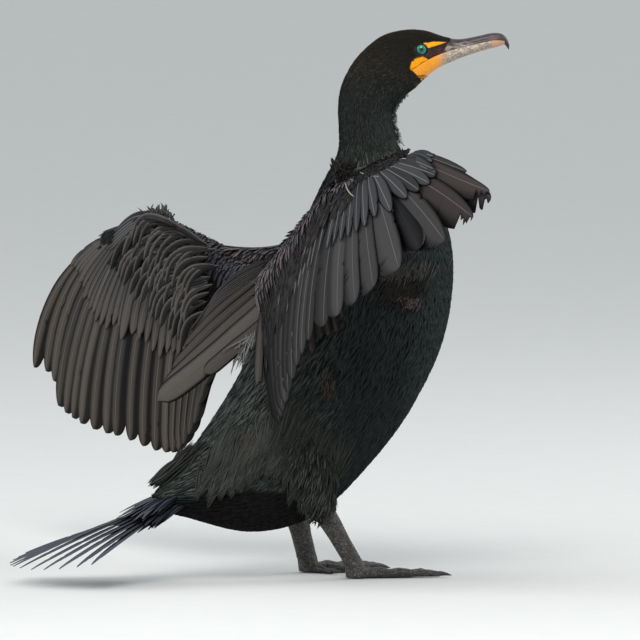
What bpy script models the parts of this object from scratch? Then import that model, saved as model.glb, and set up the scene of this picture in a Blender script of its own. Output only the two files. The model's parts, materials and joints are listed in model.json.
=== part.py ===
"""A double-crested cormorant that stands with both wings held open to dry.

The bird faces +X, its left is +Y, and the floor is Z = 0. Lengths below are in
millimetres. The meshes are written in metres, with the origin at the middle of
the bounding box's bottom face.
"""
import math

import bmesh
import bpy
import numpy as np

for old in list(bpy.data.objects):
    bpy.data.objects.remove(old, do_unlink=True)

# Sizes shared by all pieces
MM = 0.001
GAP = 0.3
BODY_SIDES = 24

# Head and neck turn about this upright line, to the bird's right
NECK_X = 24.3
HEAD_TURN = math.radians(-25.0)

# Body outline from the tail root to the bill tip. Each station has its back
# point and its belly point in the bird's middle plane, and a half width.
# x is taken from the upright neck line.
BODY = np.array([
    (-230.3, 88.0, -206.3, 65.0, 13.0),
    (-213.0, 107.0, -129.3, 46.5, 34.0),
    (-191.0, 129.5, -60.7, 61.0, 47.0),
    (-165.3, 160.6, -1.3, 111.0, 56.0),
    (-136.8, 203.0, 46.3, 170.0, 61.0),
    (-107.1, 259.0, 80.5, 241.5, 64.0),
    (-77.3, 326.4, 88.2, 321.5, 60.0),
    (-49.7, 384.0, 66.0, 388.0, 45.0),
    (-30.0, 420.0, 35.5, 422.0, 28.0),
    (-28.0, 444.4, 26.5, 446.4, 24.0),
    (-28.7, 464.0, 25.5, 460.4, 23.5),
    (-26.5, 484.0, 29.5, 470.4, 22.5),
    (-20.0, 501.0, 38.0, 479.0, 21.5),
    (-7.5, 519.5, 48.5, 487.0, 20.0),
    (14.0, 537.5, 55.0, 493.5, 18.5),
    (37.0, 544.1, 61.0, 499.0, 17.5),
    (57.4, 543.6, 72.7, 507.1, 15.5),
    (77.0, 537.5, 86.0, 513.2, 12.0),
    (92.0, 535.2, 98.0, 518.0, 9.6),
    (109.0, 537.9, 115.0, 523.6, 8.0),
    (124.0, 541.2, 129.0, 527.2, 7.0),
    (133.5, 540.8, 136.2, 529.6, 5.8),
    (139.0, 537.0, 138.2, 529.0, 4.4),
    (141.9, 530.5, 139.6, 527.2, 3.0),
    (141.8, 525.2, 141.0, 524.9, 1.2),
])

# Stations where the body is parted into nodes
RUMP_CUT = 2.4
NECK_CUT = 7.7
MIDNECK_CUT = 9.8
HEAD_CUT = 12.3

# Line of the mouth, from its corner forwards, in the same plane
MOUTH = np.array([
    (44.6, 505.2), (59.9, 515.0), (77.8, 522.8), (90.6, 526.6),
    (109.7, 531.0), (126.3, 534.4), (137.4, 533.9),
])
GULAR_REAR = (62.0, 485.0)
LOWER_BILL_SLIM = 0.94

# Eye
EYE_X = 54.2
EYE_Z = 525.7
EYE_SIDE = 10.6
EYE_RADIUS = 7.4
LID_RADIUS = 6.1
LID_THICK = 1.5

# Wing joints and feather fans, for the left and the right wing. Directions
# run from a feather's root to its tip.
WINGS = {
    "left": {
        "side": 1.0,
        "dorsal": (-0.92, -0.36, 0.0),
        "shoulder": (30.0, 44.0, 356.0),
        "elbow": (-16.0, 163.0, 282.0),
        "wrist": (-68.0, 296.0, 332.0),
        "tip": (-79.0, 410.0, 317.0),
        "fan": [
            (0, 0.00, 0.74, -0.67, 206), (2, 0.02, 0.69, -0.72, 217),
            (3, 0.01, 0.63, -0.78, 226), (4, 0.00, 0.56, -0.83, 224),
            (6, -0.03, 0.42, -0.91, 218), (8, -0.04, 0.29, -0.96, 213),
            (10, -0.06, 0.17, -0.98, 208), (14, -0.09, 0.09, -0.99, 198),
            (18, -0.15, 0.09, -0.98, 183), (22, -0.26, 0.11, -0.96, 147),
            (25, -0.43, 0.14, -0.89, 109),
        ],
        "tilts": (11.0, 9.0, 7.5, 8.0, 11.0, 13.0),
        "bow": 17.0,
        "slack": 0.55,
        "humeral": (-0.76, -0.10, -0.64),
        "humeral_length": 168.0,
    },
    "right": {
        "side": -1.0,
        "dorsal": (-0.85, 0.10, 0.50),
        "shoulder": (30.0, -44.0, 362.0),
        "elbow": (-111.0, -60.0, 297.0),
        "wrist": (-89.0, -179.0, 401.0),
        "tip": (-68.0, -287.0, 440.0),
        "fan": [
            (0, -0.06, -0.99, 0.02, 154), (2, -0.02, -0.99, -0.09, 233),
            (3, -0.05, -0.98, -0.16, 225), (4, -0.12, -0.95, -0.26, 213),
            (5, -0.23, -0.90, -0.36, 204), (6, -0.32, -0.82, -0.47, 198),
            (8, -0.39, -0.68, -0.62, 190), (10, -0.40, -0.56, -0.73, 181),
            (14, -0.33, -0.44, -0.83, 163), (18, -0.21, -0.29, -0.94, 152),
            (22, -0.09, -0.20, -0.98, 141), (25, 0.01, -0.17, -0.99, 131),
        ],
        "tilts": (12.0, 11.0, 9.0, 7.0, 5.0, 4.0),
        "bow": 5.0,
        "slack": 0.30,
        "humeral": (-0.16, -0.02, -0.99),
        "humeral_length": 100.0,
    },
}
PRIMARIES = 10
SECONDARIES = 9
HUMERALS = 5
LAST_KEY_SPAN = 15.0
NEAR_HAND = 8

# Fleshy parts of a wing: first and last feather number, half widths and half
# depths at the two ends, and the count of rings
FORE_SIZES = (25, 9, (22, 17), (12.0, 8.5), 8)
HAND_SIZES = (9, 0, (16, 9), (6.0, 4.2), 7)
ARM_OVERRUN = 3.0

# Feathers of a wing
HUMERAL_TILT = math.radians(7.0)
VANE_THICK = 0.6
UPPER_COVERTS = (5, 7, 9, 11, 13, 15, 17)
ROOT_SET = 8.0
LAYER = 0.5
COVERT_RISE = 3.3
DIVE = 0.18

# Tail
TAIL_FEATHERS = 12
TAIL_DROP = math.radians(20.5)
TAIL_HALF_FAN = math.radians(32.0)
TAIL_LAYER = 0.92
TAIL_LENGTH = 176.0
TAIL_SIDE_LENGTH = 152.0

# Legs and feet
LEGS = {
    "left": {
        "side": 1.0,
        "hip": (-66.0, 36.0, 150.0),
        "heel": (-34.0, 45.0, 62.0),
        "ankle": (-21.0, 45.0),
    },
    "right": {
        "side": -1.0,
        "hip": (-74.0, -36.0, 150.0),
        "heel": (-44.0, -45.0, 66.0),
        "ankle": (-11.0, -45.0),
    },
}
ANKLE_Z = 14.0
TOES = [(-16.0, 84.0, 5.6), (5.0, 74.0, 5.4), (27.0, 55.0, 5.0), (72.0, 34.0, 4.4)]
WEB_THICK = 1.8
CLAW_LENGTH = 13.0


def unit(v):
    """Vector of length 1 along v."""
    v = np.asarray(v, float)
    return v / np.linalg.norm(v)


def curve(keys, t):
    """Smooth curve through the rows of keys, read at the station numbers t.

    Between two rows it is a cubic whose slopes come from the rows around them.
    """
    keys = np.asarray(keys, float)
    last = len(keys) - 1
    slope = np.gradient(keys, axis=0)
    t = np.clip(np.asarray(t, float), 0, last)
    i = np.minimum(t.astype(int), last - 1)
    u = (t - i)[:, None]
    a = (1 + 2 * u) * (1 - u) ** 2
    b = u * (1 - u) ** 2
    c = u * u * (3 - 2 * u)
    d = u * u * (u - 1)
    return a * keys[i] + b * slope[i] + c * keys[i + 1] + d * slope[i + 1]


def make(name, verts, faces):
    """Object from points in millimetres."""
    mesh = bpy.data.meshes.new(name)
    mesh.from_pydata((np.asarray(verts) * MM).tolist(), [], faces)
    obj = bpy.data.objects.new(name, mesh)
    bpy.context.scene.collection.objects.link(obj)
    return obj


def loft(rings):
    """Closed skin over rings of points, with a fan of triangles on each end."""
    rings = np.asarray(rings, float)
    count, sides = rings.shape[:2]
    verts = rings.reshape(-1, 3).tolist()
    faces = []
    for i in range(count - 1):
        for j in range(sides):
            k = (j + 1) % sides
            a, b = i * sides + j, i * sides + k
            c, d = a + sides, b + sides
            faces.append((a, b, d))
            faces.append((a, d, c))
    first = len(verts)
    verts.append(rings[0].mean(axis=0).tolist())
    verts.append(rings[-1].mean(axis=0).tolist())
    top = (count - 1) * sides
    for j in range(sides):
        k = (j + 1) % sides
        faces.append((first, k, j))
        faces.append((first + 1, top + j, top + k))
    return verts, faces


def outward(obj):
    """Turn the faces of a closed mesh outwards."""
    bm = bmesh.new()
    bm.from_mesh(obj.data)
    bmesh.ops.recalc_face_normals(bm, faces=bm.faces)
    if bm.calc_volume(signed=True) < 0:
        bmesh.ops.reverse_faces(bm, faces=bm.faces)
    bm.to_mesh(obj.data)
    bm.free()
    return obj


def solid(name, rings):
    """Closed loft as an object."""
    return outward(make(name, *loft(rings)))


def boolean(obj, others, operation):
    """Apply one Boolean of obj with a list of closed objects, then remove them."""
    group = bpy.data.collections.new("operands")
    bpy.context.scene.collection.children.link(group)
    for other in others:
        bpy.context.scene.collection.objects.unlink(other)
        group.objects.link(other)
    mod = obj.modifiers.new("join", "BOOLEAN")
    mod.operation = operation
    mod.solver = "MANIFOLD"
    mod.operand_type = "COLLECTION"
    mod.collection = group
    depsgraph = bpy.context.evaluated_depsgraph_get()
    result = bpy.data.meshes.new_from_object(obj.evaluated_get(depsgraph))
    obj.modifiers.clear()
    obj.data = result
    for other in others:
        bpy.data.objects.remove(other, do_unlink=True)
    bpy.data.collections.remove(group)
    return obj


def largest(obj):
    """Keep only the largest closed surface of the mesh."""
    bm = bmesh.new()
    bm.from_mesh(obj.data)
    bmesh.ops.triangulate(bm, faces=bm.faces)
    bmesh.ops.remove_doubles(bm, verts=bm.verts, dist=2e-6)
    bmesh.ops.dissolve_degenerate(bm, edges=bm.edges, dist=2e-6)
    bmesh.ops.triangulate(bm, faces=bm.faces)
    seen = set()
    groups = []
    for start in bm.faces:
        if start in seen:
            continue
        stack = [start]
        seen.add(start)
        group = []
        while stack:
            face = stack.pop()
            group.append(face)
            for edge in face.edges:
                for near in edge.link_faces:
                    if near not in seen:
                        seen.add(near)
                        stack.append(near)
        groups.append(group)
    def volume(group):
        total = 0.0
        for face in group:
            p, q, r = [v.co for v in face.verts]
            total += p.dot(q.cross(r)) / 6.0
        return total
    groups.sort(key=volume, reverse=True)
    scrap = [face for group in groups[1:] for face in group]
    bmesh.ops.delete(bm, geom=scrap, context="FACES")
    loose = [v for v in bm.verts if not v.link_faces]
    bmesh.ops.delete(bm, geom=loose, context="VERTS")
    bm.to_mesh(obj.data)
    bm.free()
    return obj


def twin(obj, name):
    """Separate copy of an object."""
    other = bpy.data.objects.new(name, obj.data.copy())
    bpy.context.scene.collection.objects.link(other)
    return other


# Body, neck and head are one form, parted by thin cuts
def turn(t):
    """Angle of the head's plane: none below the neck, full above its middle."""
    u = np.clip((t - 7.6) / 4.6, 0, 1)
    return HEAD_TURN * u * u * (3 - 2 * u)


def body_rings(start, end, count, grow=0.0, slim=1.0, sides=BODY_SIDES):
    """Rings of the body between two stations, grown outwards by some millimetres.

    A ring is an ellipse on the line from belly point to back point, a little
    fuller towards the belly in the trunk.
    """
    t = np.linspace(start, end, count)
    row = curve(BODY, t)
    angle = turn(t)
    phi = np.linspace(0, 2 * math.pi, sides, endpoint=False)
    mid = (row[:, 0:2] + row[:, 2:4]) / 2
    half = (row[:, 0:2] - row[:, 2:4]) / 2
    size = np.linalg.norm(half, axis=1, keepdims=True)
    half = half * (1 + grow / size)
    width = row[:, 4] * slim + grow
    full = 0.12 * np.clip((t - 1) / 3, 0, 1) * np.clip((9 - t) / 3, 0, 1)
    cos, sin = np.cos(phi), np.sin(phi)
    x = mid[:, 0:1] + half[:, 0:1] * cos
    z = mid[:, 1:2] + half[:, 1:2] * cos
    y = width[:, None] * sin * (1 - full[:, None] * cos)
    rings = np.empty((count, sides, 3))
    rings[:, :, 0] = NECK_X + x * np.cos(angle)[:, None] - y * np.sin(angle)[:, None]
    rings[:, :, 1] = x * np.sin(angle)[:, None] + y * np.cos(angle)[:, None]
    rings[:, :, 2] = z
    return rings


def faced(rings, first=0.0, last=0.0):
    """Move the end rings along the form, in millimetres, to open a gap."""
    rings = rings.copy()
    if first:
        way = unit(rings[1].mean(axis=0) - rings[0].mean(axis=0))
        cut = unit(np.cross(rings[0][0] - rings[0][6], rings[0][12] - rings[0][6]))
        rings[0] += cut * first * np.sign(cut @ way)
    if last:
        way = unit(rings[-2].mean(axis=0) - rings[-1].mean(axis=0))
        cut = unit(np.cross(rings[-1][0] - rings[-1][6], rings[-1][12] - rings[-1][6]))
        rings[-1] += cut * last * np.sign(cut @ way)
    return rings


def head_point(x, side, z):
    """Point of the turned head: x forwards of the neck line, side to the left."""
    c, s = math.cos(HEAD_TURN), math.sin(HEAD_TURN)
    return (NECK_X + x * c - side * s, x * s + side * c, z)


def head_prism(name, outline, reach=60.0):
    """Closed prism across the head over an outline of its middle plane."""
    n = len(outline)
    verts = [head_point(x, -reach, z) for x, z in outline]
    verts += [head_point(x, reach, z) for x, z in outline]
    faces = [tuple(range(n)), tuple(range(2 * n - 1, n - 1, -1))]
    for i in range(n):
        j = (i + 1) % n
        faces.append((i, i + n, j + n, j))
    obj = outward(make(name, verts, faces))
    bm = bmesh.new()
    bm.from_mesh(obj.data)
    bmesh.ops.triangulate(bm, faces=bm.faces)
    bm.to_mesh(obj.data)
    bm.free()
    return obj


rump = solid("rump", faced(body_rings(0, RUMP_CUT, 8), 0, GAP / 2))
torso = solid("torso", faced(body_rings(RUMP_CUT, NECK_CUT, 15), GAP / 2, GAP / 2))
neck_lower = solid("neck_lower", faced(body_rings(NECK_CUT, MIDNECK_CUT, 7), GAP / 2, GAP / 2))
neck_upper = solid("neck_upper", faced(body_rings(MIDNECK_CUT, HEAD_CUT, 8), GAP / 2, GAP / 2))

mouth = curve(MOUTH, np.linspace(0, len(MOUTH) - 1, 19))
rise = np.array((0.0, GAP / 2))
tip_drop = [(137.9, 528.0), (137.9, 505.0)]
lower_outline = [tuple(p) for p in mouth - rise] + tip_drop + [GULAR_REAR]
lower_grown = [tuple(p) for p in mouth + rise] + [(p[0] + GAP, p[1]) for p in tip_drop]
lower_grown = [(43.9, 505.6)] + lower_grown[1:] + [(GULAR_REAR[0] - 0.5, GULAR_REAR[1] - 0.5)]
edge_foot = float(np.interp(77.0, mouth[:, 0], mouth[:, 1])) + GAP / 2
FEATHER_EDGE = [(87.0, 560.0), (86.0, 539.0), (80.0, 531.0), (77.0, edge_foot)]
front = [(160.0, 560.0), (160.0, 505.0), (137.9 + GAP, 505.0)]
upper_line = [tuple(p) for p in (mouth + rise)[::-1] if p[0] > 77.5]
upper_line[0] = (137.9 + GAP, 533.9)
upper_outline = FEATHER_EDGE + upper_line[::-1] + front[::-1]
edge_back = [(x - GAP, z) for x, z in FEATHER_EDGE]
upper_grown = edge_back + [(76.5, 515.0), (160.0, 480.0), (160.0, 560.0)]

whole_head = body_rings(HEAD_CUT, len(BODY) - 1, 24)
bill_upper = solid("bill_upper", whole_head)
boolean(bill_upper, [head_prism("keep", upper_outline)], "INTERSECT")
bill_lower = solid("bill_lower", body_rings(HEAD_CUT, len(BODY) - 1, 24, slim=LOWER_BILL_SLIM))
boolean(bill_lower, [head_prism("keep", lower_outline)], "INTERSECT")
head = solid("head", faced(whole_head, GAP / 2, 0))
boolean(head, [head_prism("take", lower_grown)], "DIFFERENCE")
boolean(head, [head_prism("take", upper_grown)], "DIFFERENCE")
largest(head)
largest(bill_upper)
largest(bill_lower)


def ball(name, centre, radius, segments=16, rings=9):
    """Round body with its poles on the head's side axis."""
    v = np.linspace(0, math.pi, rings + 1)[1:-1]
    u = np.linspace(0, 2 * math.pi, segments, endpoint=False)
    axis = unit(np.subtract(head_point(0, 1, 0), head_point(0, 0, 0)))
    ahead = unit(np.subtract(head_point(1, 0, 0), head_point(0, 0, 0)))
    up = np.array((0.0, 0.0, 1.0))
    circle = np.cos(u)[:, None] * ahead + np.sin(u)[:, None] * up
    loops = [np.asarray(centre) + radius * (math.cos(a) * axis + math.sin(a) * circle) for a in v]
    verts = np.concatenate(loops).tolist()
    faces = []
    for i in range(len(v) - 1):
        for j in range(segments):
            k = (j + 1) % segments
            a, b = i * segments + j, i * segments + k
            faces.append((a, b, b + segments, a + segments))
    verts.append((np.asarray(centre) + radius * axis).tolist())
    verts.append((np.asarray(centre) - radius * axis).tolist())
    low = (len(v) - 1) * segments
    for j in range(segments):
        k = (j + 1) % segments
        faces.append((len(verts) - 2, j, k))
        faces.append((len(verts) - 1, low + k, low + j))
    return outward(make(name, verts, faces))


def ring_tube(name, centre, radius, thick, around=18, sides=5):
    """Raised ring of lid round an eye, in the plane of the head's side."""
    u = np.linspace(0, 2 * math.pi, around, endpoint=False)
    v = np.linspace(0, 2 * math.pi, sides, endpoint=False)
    axis = unit(np.subtract(head_point(0, 1, 0), head_point(0, 0, 0)))
    ahead = unit(np.subtract(head_point(1, 0, 0), head_point(0, 0, 0)))
    up = np.array((0.0, 0.0, 1.0))
    verts = []
    for a in u:
        out = math.cos(a) * ahead + 0.94 * math.sin(a) * up
        for b in v:
            r = radius + thick * math.cos(b)
            verts.append((np.asarray(centre) + out * r + axis * thick * math.sin(b)).tolist())
    faces = []
    for i in range(around):
        for j in range(sides):
            a, b = i * sides + j, i * sides + (j + 1) % sides
            c, d = (a + sides) % (around * sides), (b + sides) % (around * sides)
            faces.append((a, b, d, c))
    return outward(make(name, verts, faces))


eyes = {}
for label, side in (("left", 1.0), ("right", -1.0)):
    centre = head_point(EYE_X, side * EYE_SIDE, EYE_Z)
    rim = head_point(EYE_X, side * (EYE_SIDE + 5.4), EYE_Z)
    eyes[label] = ball("eye_" + label, centre, EYE_RADIUS)
    boolean(head, [ring_tube("lid", rim, LID_RADIUS, LID_THICK)], "UNION")
    boolean(head, [ball("socket", centre, EYE_RADIUS + GAP)], "DIFFERENCE")
largest(head)


# Feathers
VANE_SHAPES = {
    "long": ((0.0, 0.14, 0.45, 0.80, 0.95, 1.0), (0.14, 0.55, 0.96, 0.98, 0.62, 0.20)),
    "short": ((0.0, 0.18, 0.80, 1.0), (0.20, 0.70, 0.95, 0.28)),
    "pointed": ((0.0, 0.15, 0.45, 0.80, 1.0), (0.25, 0.60, 0.92, 0.62, 0.10)),
}


def vane(shaft, start, end, inner, outer, shape="long", rise=0.0, tilt=0.0):
    """Closed blade of one feather on a stretch of its shaft.

    The shaft holds points, side axes and upward axes along the feather. The
    blade tapers in at the quill and at the tip, and is tilted about the shaft
    so that neighbours lie like shingles. A raised blade dives to the shaft's
    own root over the first part of its length.
    """
    s, f = [np.array(row) for row in VANE_SHAPES[shape]]
    at = start + (end - start) * s
    grid = np.linspace(0, 1, len(shaft["points"]))
    centre, across, normal = [np.stack([np.interp(at, grid, shaft[key][:, c]) for c in range(3)], axis=1)
                              for key in ("points", "across", "normal")]
    depth = (VANE_THICK * np.interp(s, (0.0, 0.2, 1.0), (1.4, 1.0, 0.9)) / 2)[:, None]
    lean = across * math.cos(tilt) + normal * math.sin(tilt)
    lift = normal * math.cos(tilt) - across * math.sin(tilt)
    centre = centre + normal * (rise * np.minimum(1, s / DIVE))[:, None]
    rings = np.stack([centre - lean * inner * f[:, None] - lift * depth,
                      centre + lean * outer * f[:, None] - lift * depth,
                      centre + lean * outer * f[:, None] + lift * depth,
                      centre - lean * inner * f[:, None] + lift * depth], axis=1)
    verts = rings.reshape(-1, 3).tolist()
    faces = [(0, 1, 2), (0, 2, 3)]
    for i in range(len(s) - 1):
        a = i * 4
        b = a + 4
        faces.append((a, a + 1, b))
        faces.append((a + 1, b + 1, b))
        faces.append((a + 3, b + 3, a + 2))
        faces.append((a + 2, b + 3, b + 2))
        faces.append((a + 1, a + 2, b + 1))
        faces.append((a + 2, b + 2, b + 1))
        faces.append((a, b, a + 3))
        faces.append((b, b + 3, a + 3))
    e = (len(s) - 1) * 4
    faces.append((e, e + 2, e + 1))
    faces.append((e, e + 3, e + 2))
    return outward(make("vane", verts, faces))


def shaft_rows(points, upward):
    """Side and upward axes of a row of shafts that lie side by side.

    points has one row of shaft points for each feather. The side axis at a
    point runs from the feather behind to the feather ahead, square to the
    shaft, so that each blade lies along the sheet that the shafts span.
    """
    along = np.gradient(points, axis=1)
    along /= np.linalg.norm(along, axis=2, keepdims=True)
    side = -np.gradient(points, axis=0)
    side -= along * np.sum(side * along, axis=2, keepdims=True)
    side /= np.linalg.norm(side, axis=2, keepdims=True)
    normal = np.cross(along, side)
    normal *= np.sign(np.sum(normal * upward, axis=2, keepdims=True))
    return [{"points": p, "across": a, "normal": n} for p, a, n in zip(points, side, normal)]


def lone_shaft(root, way, across, length):
    """Straight shaft with constant axes."""
    grid = np.linspace(0, 1, 9)[:, None]
    ones = np.ones((9, 1))
    return {"points": root + grid * way * length, "across": ones * across,
            "normal": ones * np.cross(way, across)}


def limb(name, points, chords, normals, wide, deep, sides=12, grow=0.0, shift=0.0):
    """Closed form along points, its ellipse sections wide by deep half sizes."""
    points = np.asarray(points, float)
    phi = np.linspace(0, 2 * math.pi, sides, endpoint=False)
    rings = []
    for p, c, n, a, b in zip(points, chords, normals, wide, deep):
        centre = p + c * shift
        rings.append(centre + np.outer(np.cos(phi) * (a + grow), c) + np.outer(np.sin(phi) * (b + grow), n))
    rings = np.array(rings)
    if grow:
        rings[0] -= unit(points[1] - points[0]) * grow
        rings[-1] += unit(points[-1] - points[-2]) * grow
    return solid(name, rings)


def fan_at(wing, index):
    """Directions and lengths of the feathers with these numbers."""
    keys = np.array(wing["fan"], float)
    station = np.interp(index, keys[:, 0], np.arange(len(keys)))
    rows = curve(keys[:, 1:], np.atleast_1d(station))
    ways = rows[:, 0:3] / np.linalg.norm(rows[:, 0:3], axis=1, keepdims=True)
    return ways, rows[:, 3]


def flight_shafts(wing):
    """Shafts of all flight feathers of a wing.

    Numbers 0 to 9 are the primaries from the wing tip inwards, the rest are
    the secondaries from the wrist to the elbow. The shafts arch towards the
    back of the wing, and the outer ones bow forwards.
    """
    elbow, wrist, tip = [np.array(wing[k]) for k in ("elbow", "wrist", "tip")]
    number = np.arange(PRIMARIES + SECONDARIES)
    place = np.where(number < PRIMARIES, 0.96 - 0.098 * number,
                     -0.07 - 0.91 * (number - PRIMARIES) / (SECONDARIES - 1))[:, None]
    hand_way = np.where(place > 0, place, 0) * (tip - wrist)
    arm_way = np.where(place < 0, -place, 0) * (elbow - wrist)
    step = LAST_KEY_SPAN / (SECONDARIES - 1)
    key = np.where(number < PRIMARIES, number, PRIMARIES + (number - PRIMARIES) * step)
    ways, lengths = fan_at(wing, key)
    roots = wrist + hand_way + arm_way + ways * ROOT_SET
    grid = np.linspace(0, 1, 25)
    hump = 4 * grid * (1 - grid)
    points = roots[:, None, :] + grid[None, :, None] * (ways * lengths[:, None])[:, None, :]
    rows = shaft_rows(points, np.array(wing["dorsal"]))
    bow = wing["bow"] * np.interp(key, (0, 3, 9, 14, 25), (1.0, 1.0, 0.45, 0.2, 0.1))
    across = np.array([row["across"] for row in rows])
    normal = np.array([row["normal"] for row in rows])
    points = points + across * (bow[:, None] * hump)[:, :, None]
    level = LAYER * (np.minimum(number, PRIMARIES) - 6) + np.where(number < PRIMARIES, 0.0, LAYER)
    points = points + normal * (0.035 * lengths[:, None] * hump + level[:, None])[:, :, None]
    return shaft_rows(points, np.array(wing["dorsal"])), lengths, key


def wing_nodes(label, torso_cutter):
    """The arm, forearm and hand of one wing, each with its feathers."""
    wing = WINGS[label]
    side = wing["side"]
    shoulder, elbow, wrist, tip = [np.array(wing[k]) for k in ("shoulder", "elbow", "wrist", "tip")]

    def core(name, start, end, first, last, wide, deep, count, grow=0.0):
        """Fleshy part between two joints, flattened towards the feathers."""
        steps = np.linspace(0, 1, count)
        along = unit(end - start)
        points = [start + (end - start) * k for k in steps]
        chords = []
        normals = []
        for way in fan_at(wing, first + (last - first) * steps)[0]:
            chord = unit(way - along * (way @ along))
            chords.append(chord)
            normals.append(np.cross(along, chord))
        taper = np.minimum(1.0, 0.45 + 4.0 * np.minimum(steps, 1 - steps))
        return limb(name, points, chords, normals, np.interp(steps, (0, 1), wide) * taper,
                    np.interp(steps, (0, 1), deep) * taper, sides=10, grow=grow, shift=4.0)

    fore_end = wrist + unit(wrist - elbow) * 6
    hand_end = tip + unit(tip - wrist) * 4
    forearm = core("forearm_" + label, elbow, fore_end, *FORE_SIZES)
    fore_cut = core("cut", elbow, fore_end, *FORE_SIZES, GAP)
    hand = core("hand_" + label, wrist, hand_end, *HAND_SIZES)
    boolean(hand, [twin(fore_cut, "cut")], "DIFFERENCE")
    hand_cut = core("cut", wrist, hand_end, *HAND_SIZES, GAP)

    shafts, lengths, keys = flight_shafts(wing)
    hand_vanes = []
    fore_vanes = []
    for index, (shaft, length, key) in enumerate(zip(shafts, lengths, keys)):
        in_hand = index < PRIMARIES
        pieces = hand_vanes if in_hand else fore_vanes
        inner = np.interp(key, (0, 2, 9, 10, 25), (12.0, 20.0, 19.0, 18.0, 16.0))
        outer = np.interp(key, (0, 2, 9, 10, 25), (6.0, 10.0, 12.0, 12.0, 11.0))
        tilt = math.radians(np.interp(key, (0, 3, 7, 10, 14, 25), wing["tilts"]))
        pieces.append(vane(shaft, 0, 1, inner, outer, "long", 0.0, tilt))
        reach = 0.40 if in_hand else 0.46
        pieces.append(vane(shaft, -0.02, reach, inner * 0.6, outer * 0.8, "short", COVERT_RISE, tilt))
        if index in UPPER_COVERTS:
            pieces.append(vane(shaft, -0.02, 0.28, inner * 0.7, outer * 0.9, "short",
                               2 * COVERT_RISE, tilt))

    # Thumb feathers lie over the front of the hand
    ahead = unit(tip - wrist)
    lead = shafts[4]
    for k in range(3):
        heading = unit(ahead + lead["across"][0] * (0.10 - 0.10 * k))
        normal = lead["normal"][0]
        edge = unit(lead["across"][0] - heading * (lead["across"][0] @ heading))
        if np.cross(heading, edge) @ normal < 0:
            edge = -edge
        root = wrist + ahead * (16 + 8 * k) + normal * (1.2 + 0.9 * k) - wing_chord(wing, 6.0) * 7
        hand_vanes.append(vane(lone_shaft(root, heading, edge, 66 - 9 * k), 0, 1, 5.5, 5.5, "short"))

    for piece in hand_vanes:
        boolean(piece, [twin(fore_cut, "cut")], "DIFFERENCE")
    for piece in fore_vanes[:NEAR_HAND]:
        boolean(piece, [twin(hand_cut, "cut")], "DIFFERENCE")
    bpy.data.objects.remove(hand_cut, do_unlink=True)
    boolean(hand, [largest(v) for v in hand_vanes], "UNION")
    boolean(forearm, [largest(v) for v in fore_vanes], "UNION")

    # Upper arm with the fold of skin in front of the elbow
    bone = unit(elbow - shoulder)
    web_normal = unit(np.cross(elbow - shoulder, wrist - shoulder)) * side
    chord = unit(np.cross(web_normal, bone))
    steps = np.linspace(0, 1, 7)
    inside = shoulder - bone * 6
    points = [inside + (elbow + bone * ARM_OVERRUN - inside) * k for k in steps]
    arm = limb("arm_" + label, points, [chord] * 7, [web_normal] * 7,
               np.interp(steps, (0, 0.8, 1), (22, 15, 8)), np.interp(steps, (0, 0.8, 1), (20, 12, 6)))
    folds = np.linspace(0.10, 0.96, 7)
    centres = []
    spans = []
    reach = []
    for k in folds:
        back = shoulder + (elbow - shoulder) * k
        edge = shoulder + (wrist - shoulder) * k
        edge = edge + (back - edge) * (0.15 + wing["slack"] * 4 * k * (1 - k))
        centres.append((back + edge) / 2)
        spans.append(unit(edge - back))
        reach.append(np.linalg.norm(edge - back) / 2 + 3)
    skin = limb("fold", centres, spans, [web_normal] * 7, reach, np.interp(folds, (0, 1), (7.0, 4.0)))

    humerals = []
    spots = np.arange(HUMERALS)
    seat = elbow + np.outer(0.05 + 0.135 * spots, shoulder - elbow)
    drape = unit(wing["humeral"])
    dorsal = unit(np.cross(bone, drape)) * side
    size = wing["humeral_length"] * (1 - 0.07 * spots)
    grid = np.linspace(0, 1, 13)
    points = (seat + dorsal * 2)[:, None, :] + grid[None, :, None] * size[:, None, None] * drape
    points = points + dorsal * (4 * grid * (1 - grid) * 4.0)[None, :, None]
    for shaft in shaft_rows(points, dorsal):
        humerals.append(vane(shaft, 0, 1, 13.0, 10.0, "long", 0.0, HUMERAL_TILT))
        humerals.append(vane(shaft, 0, 0.55, 10.0, 8.0, "short", COVERT_RISE, HUMERAL_TILT))
    boolean(arm, [skin] + humerals, "UNION")
    boolean(arm, [fore_cut, twin(torso_cutter, "cut")], "DIFFERENCE")
    return [largest(arm), largest(forearm), largest(hand)]


def wing_chord(wing, index):
    """Direction square to the hand that its feathers leave it in."""
    along = unit(np.subtract(wing["tip"], wing["wrist"]))
    way = fan_at(wing, index)[0][0]
    return unit(way - along * (way @ along))


torso_cut = solid("torso_cut", faced(body_rings(RUMP_CUT, NECK_CUT, 15, grow=GAP), -GAP, -GAP))
nodes = [rump, torso, neck_lower, neck_upper, head, bill_upper, bill_lower, eyes["left"], eyes["right"]]
for label in ("left", "right"):
    nodes += wing_nodes(label, torso_cut)

# Tail
back = np.array((-math.cos(TAIL_DROP), 0.0, -math.sin(TAIL_DROP)))
above = np.array((-math.sin(TAIL_DROP), 0.0, math.cos(TAIL_DROP)))
left = np.array((0.0, 1.0, 0.0))
end_ring = body_rings(0, 1, 2)[0]
end_mid = end_ring.mean(axis=0)
rings = []
for k, (push, wide, tall) in enumerate(((0, 1, 1), (10, 1.05, 0.85), (24, 1.1, 0.6), (38, 0.9, 0.35))):
    flat = (end_ring - end_mid) * (tall, wide, tall) + end_mid + back * push
    rings.append(flat)
cut = unit(np.cross(end_ring[0] - end_ring[6], end_ring[12] - end_ring[6]))
rings[0] = rings[0] + cut * GAP * np.sign(cut @ back)
tail = solid("tail", rings)
tail_vanes = []
half = TAIL_FEATHERS // 2


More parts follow.
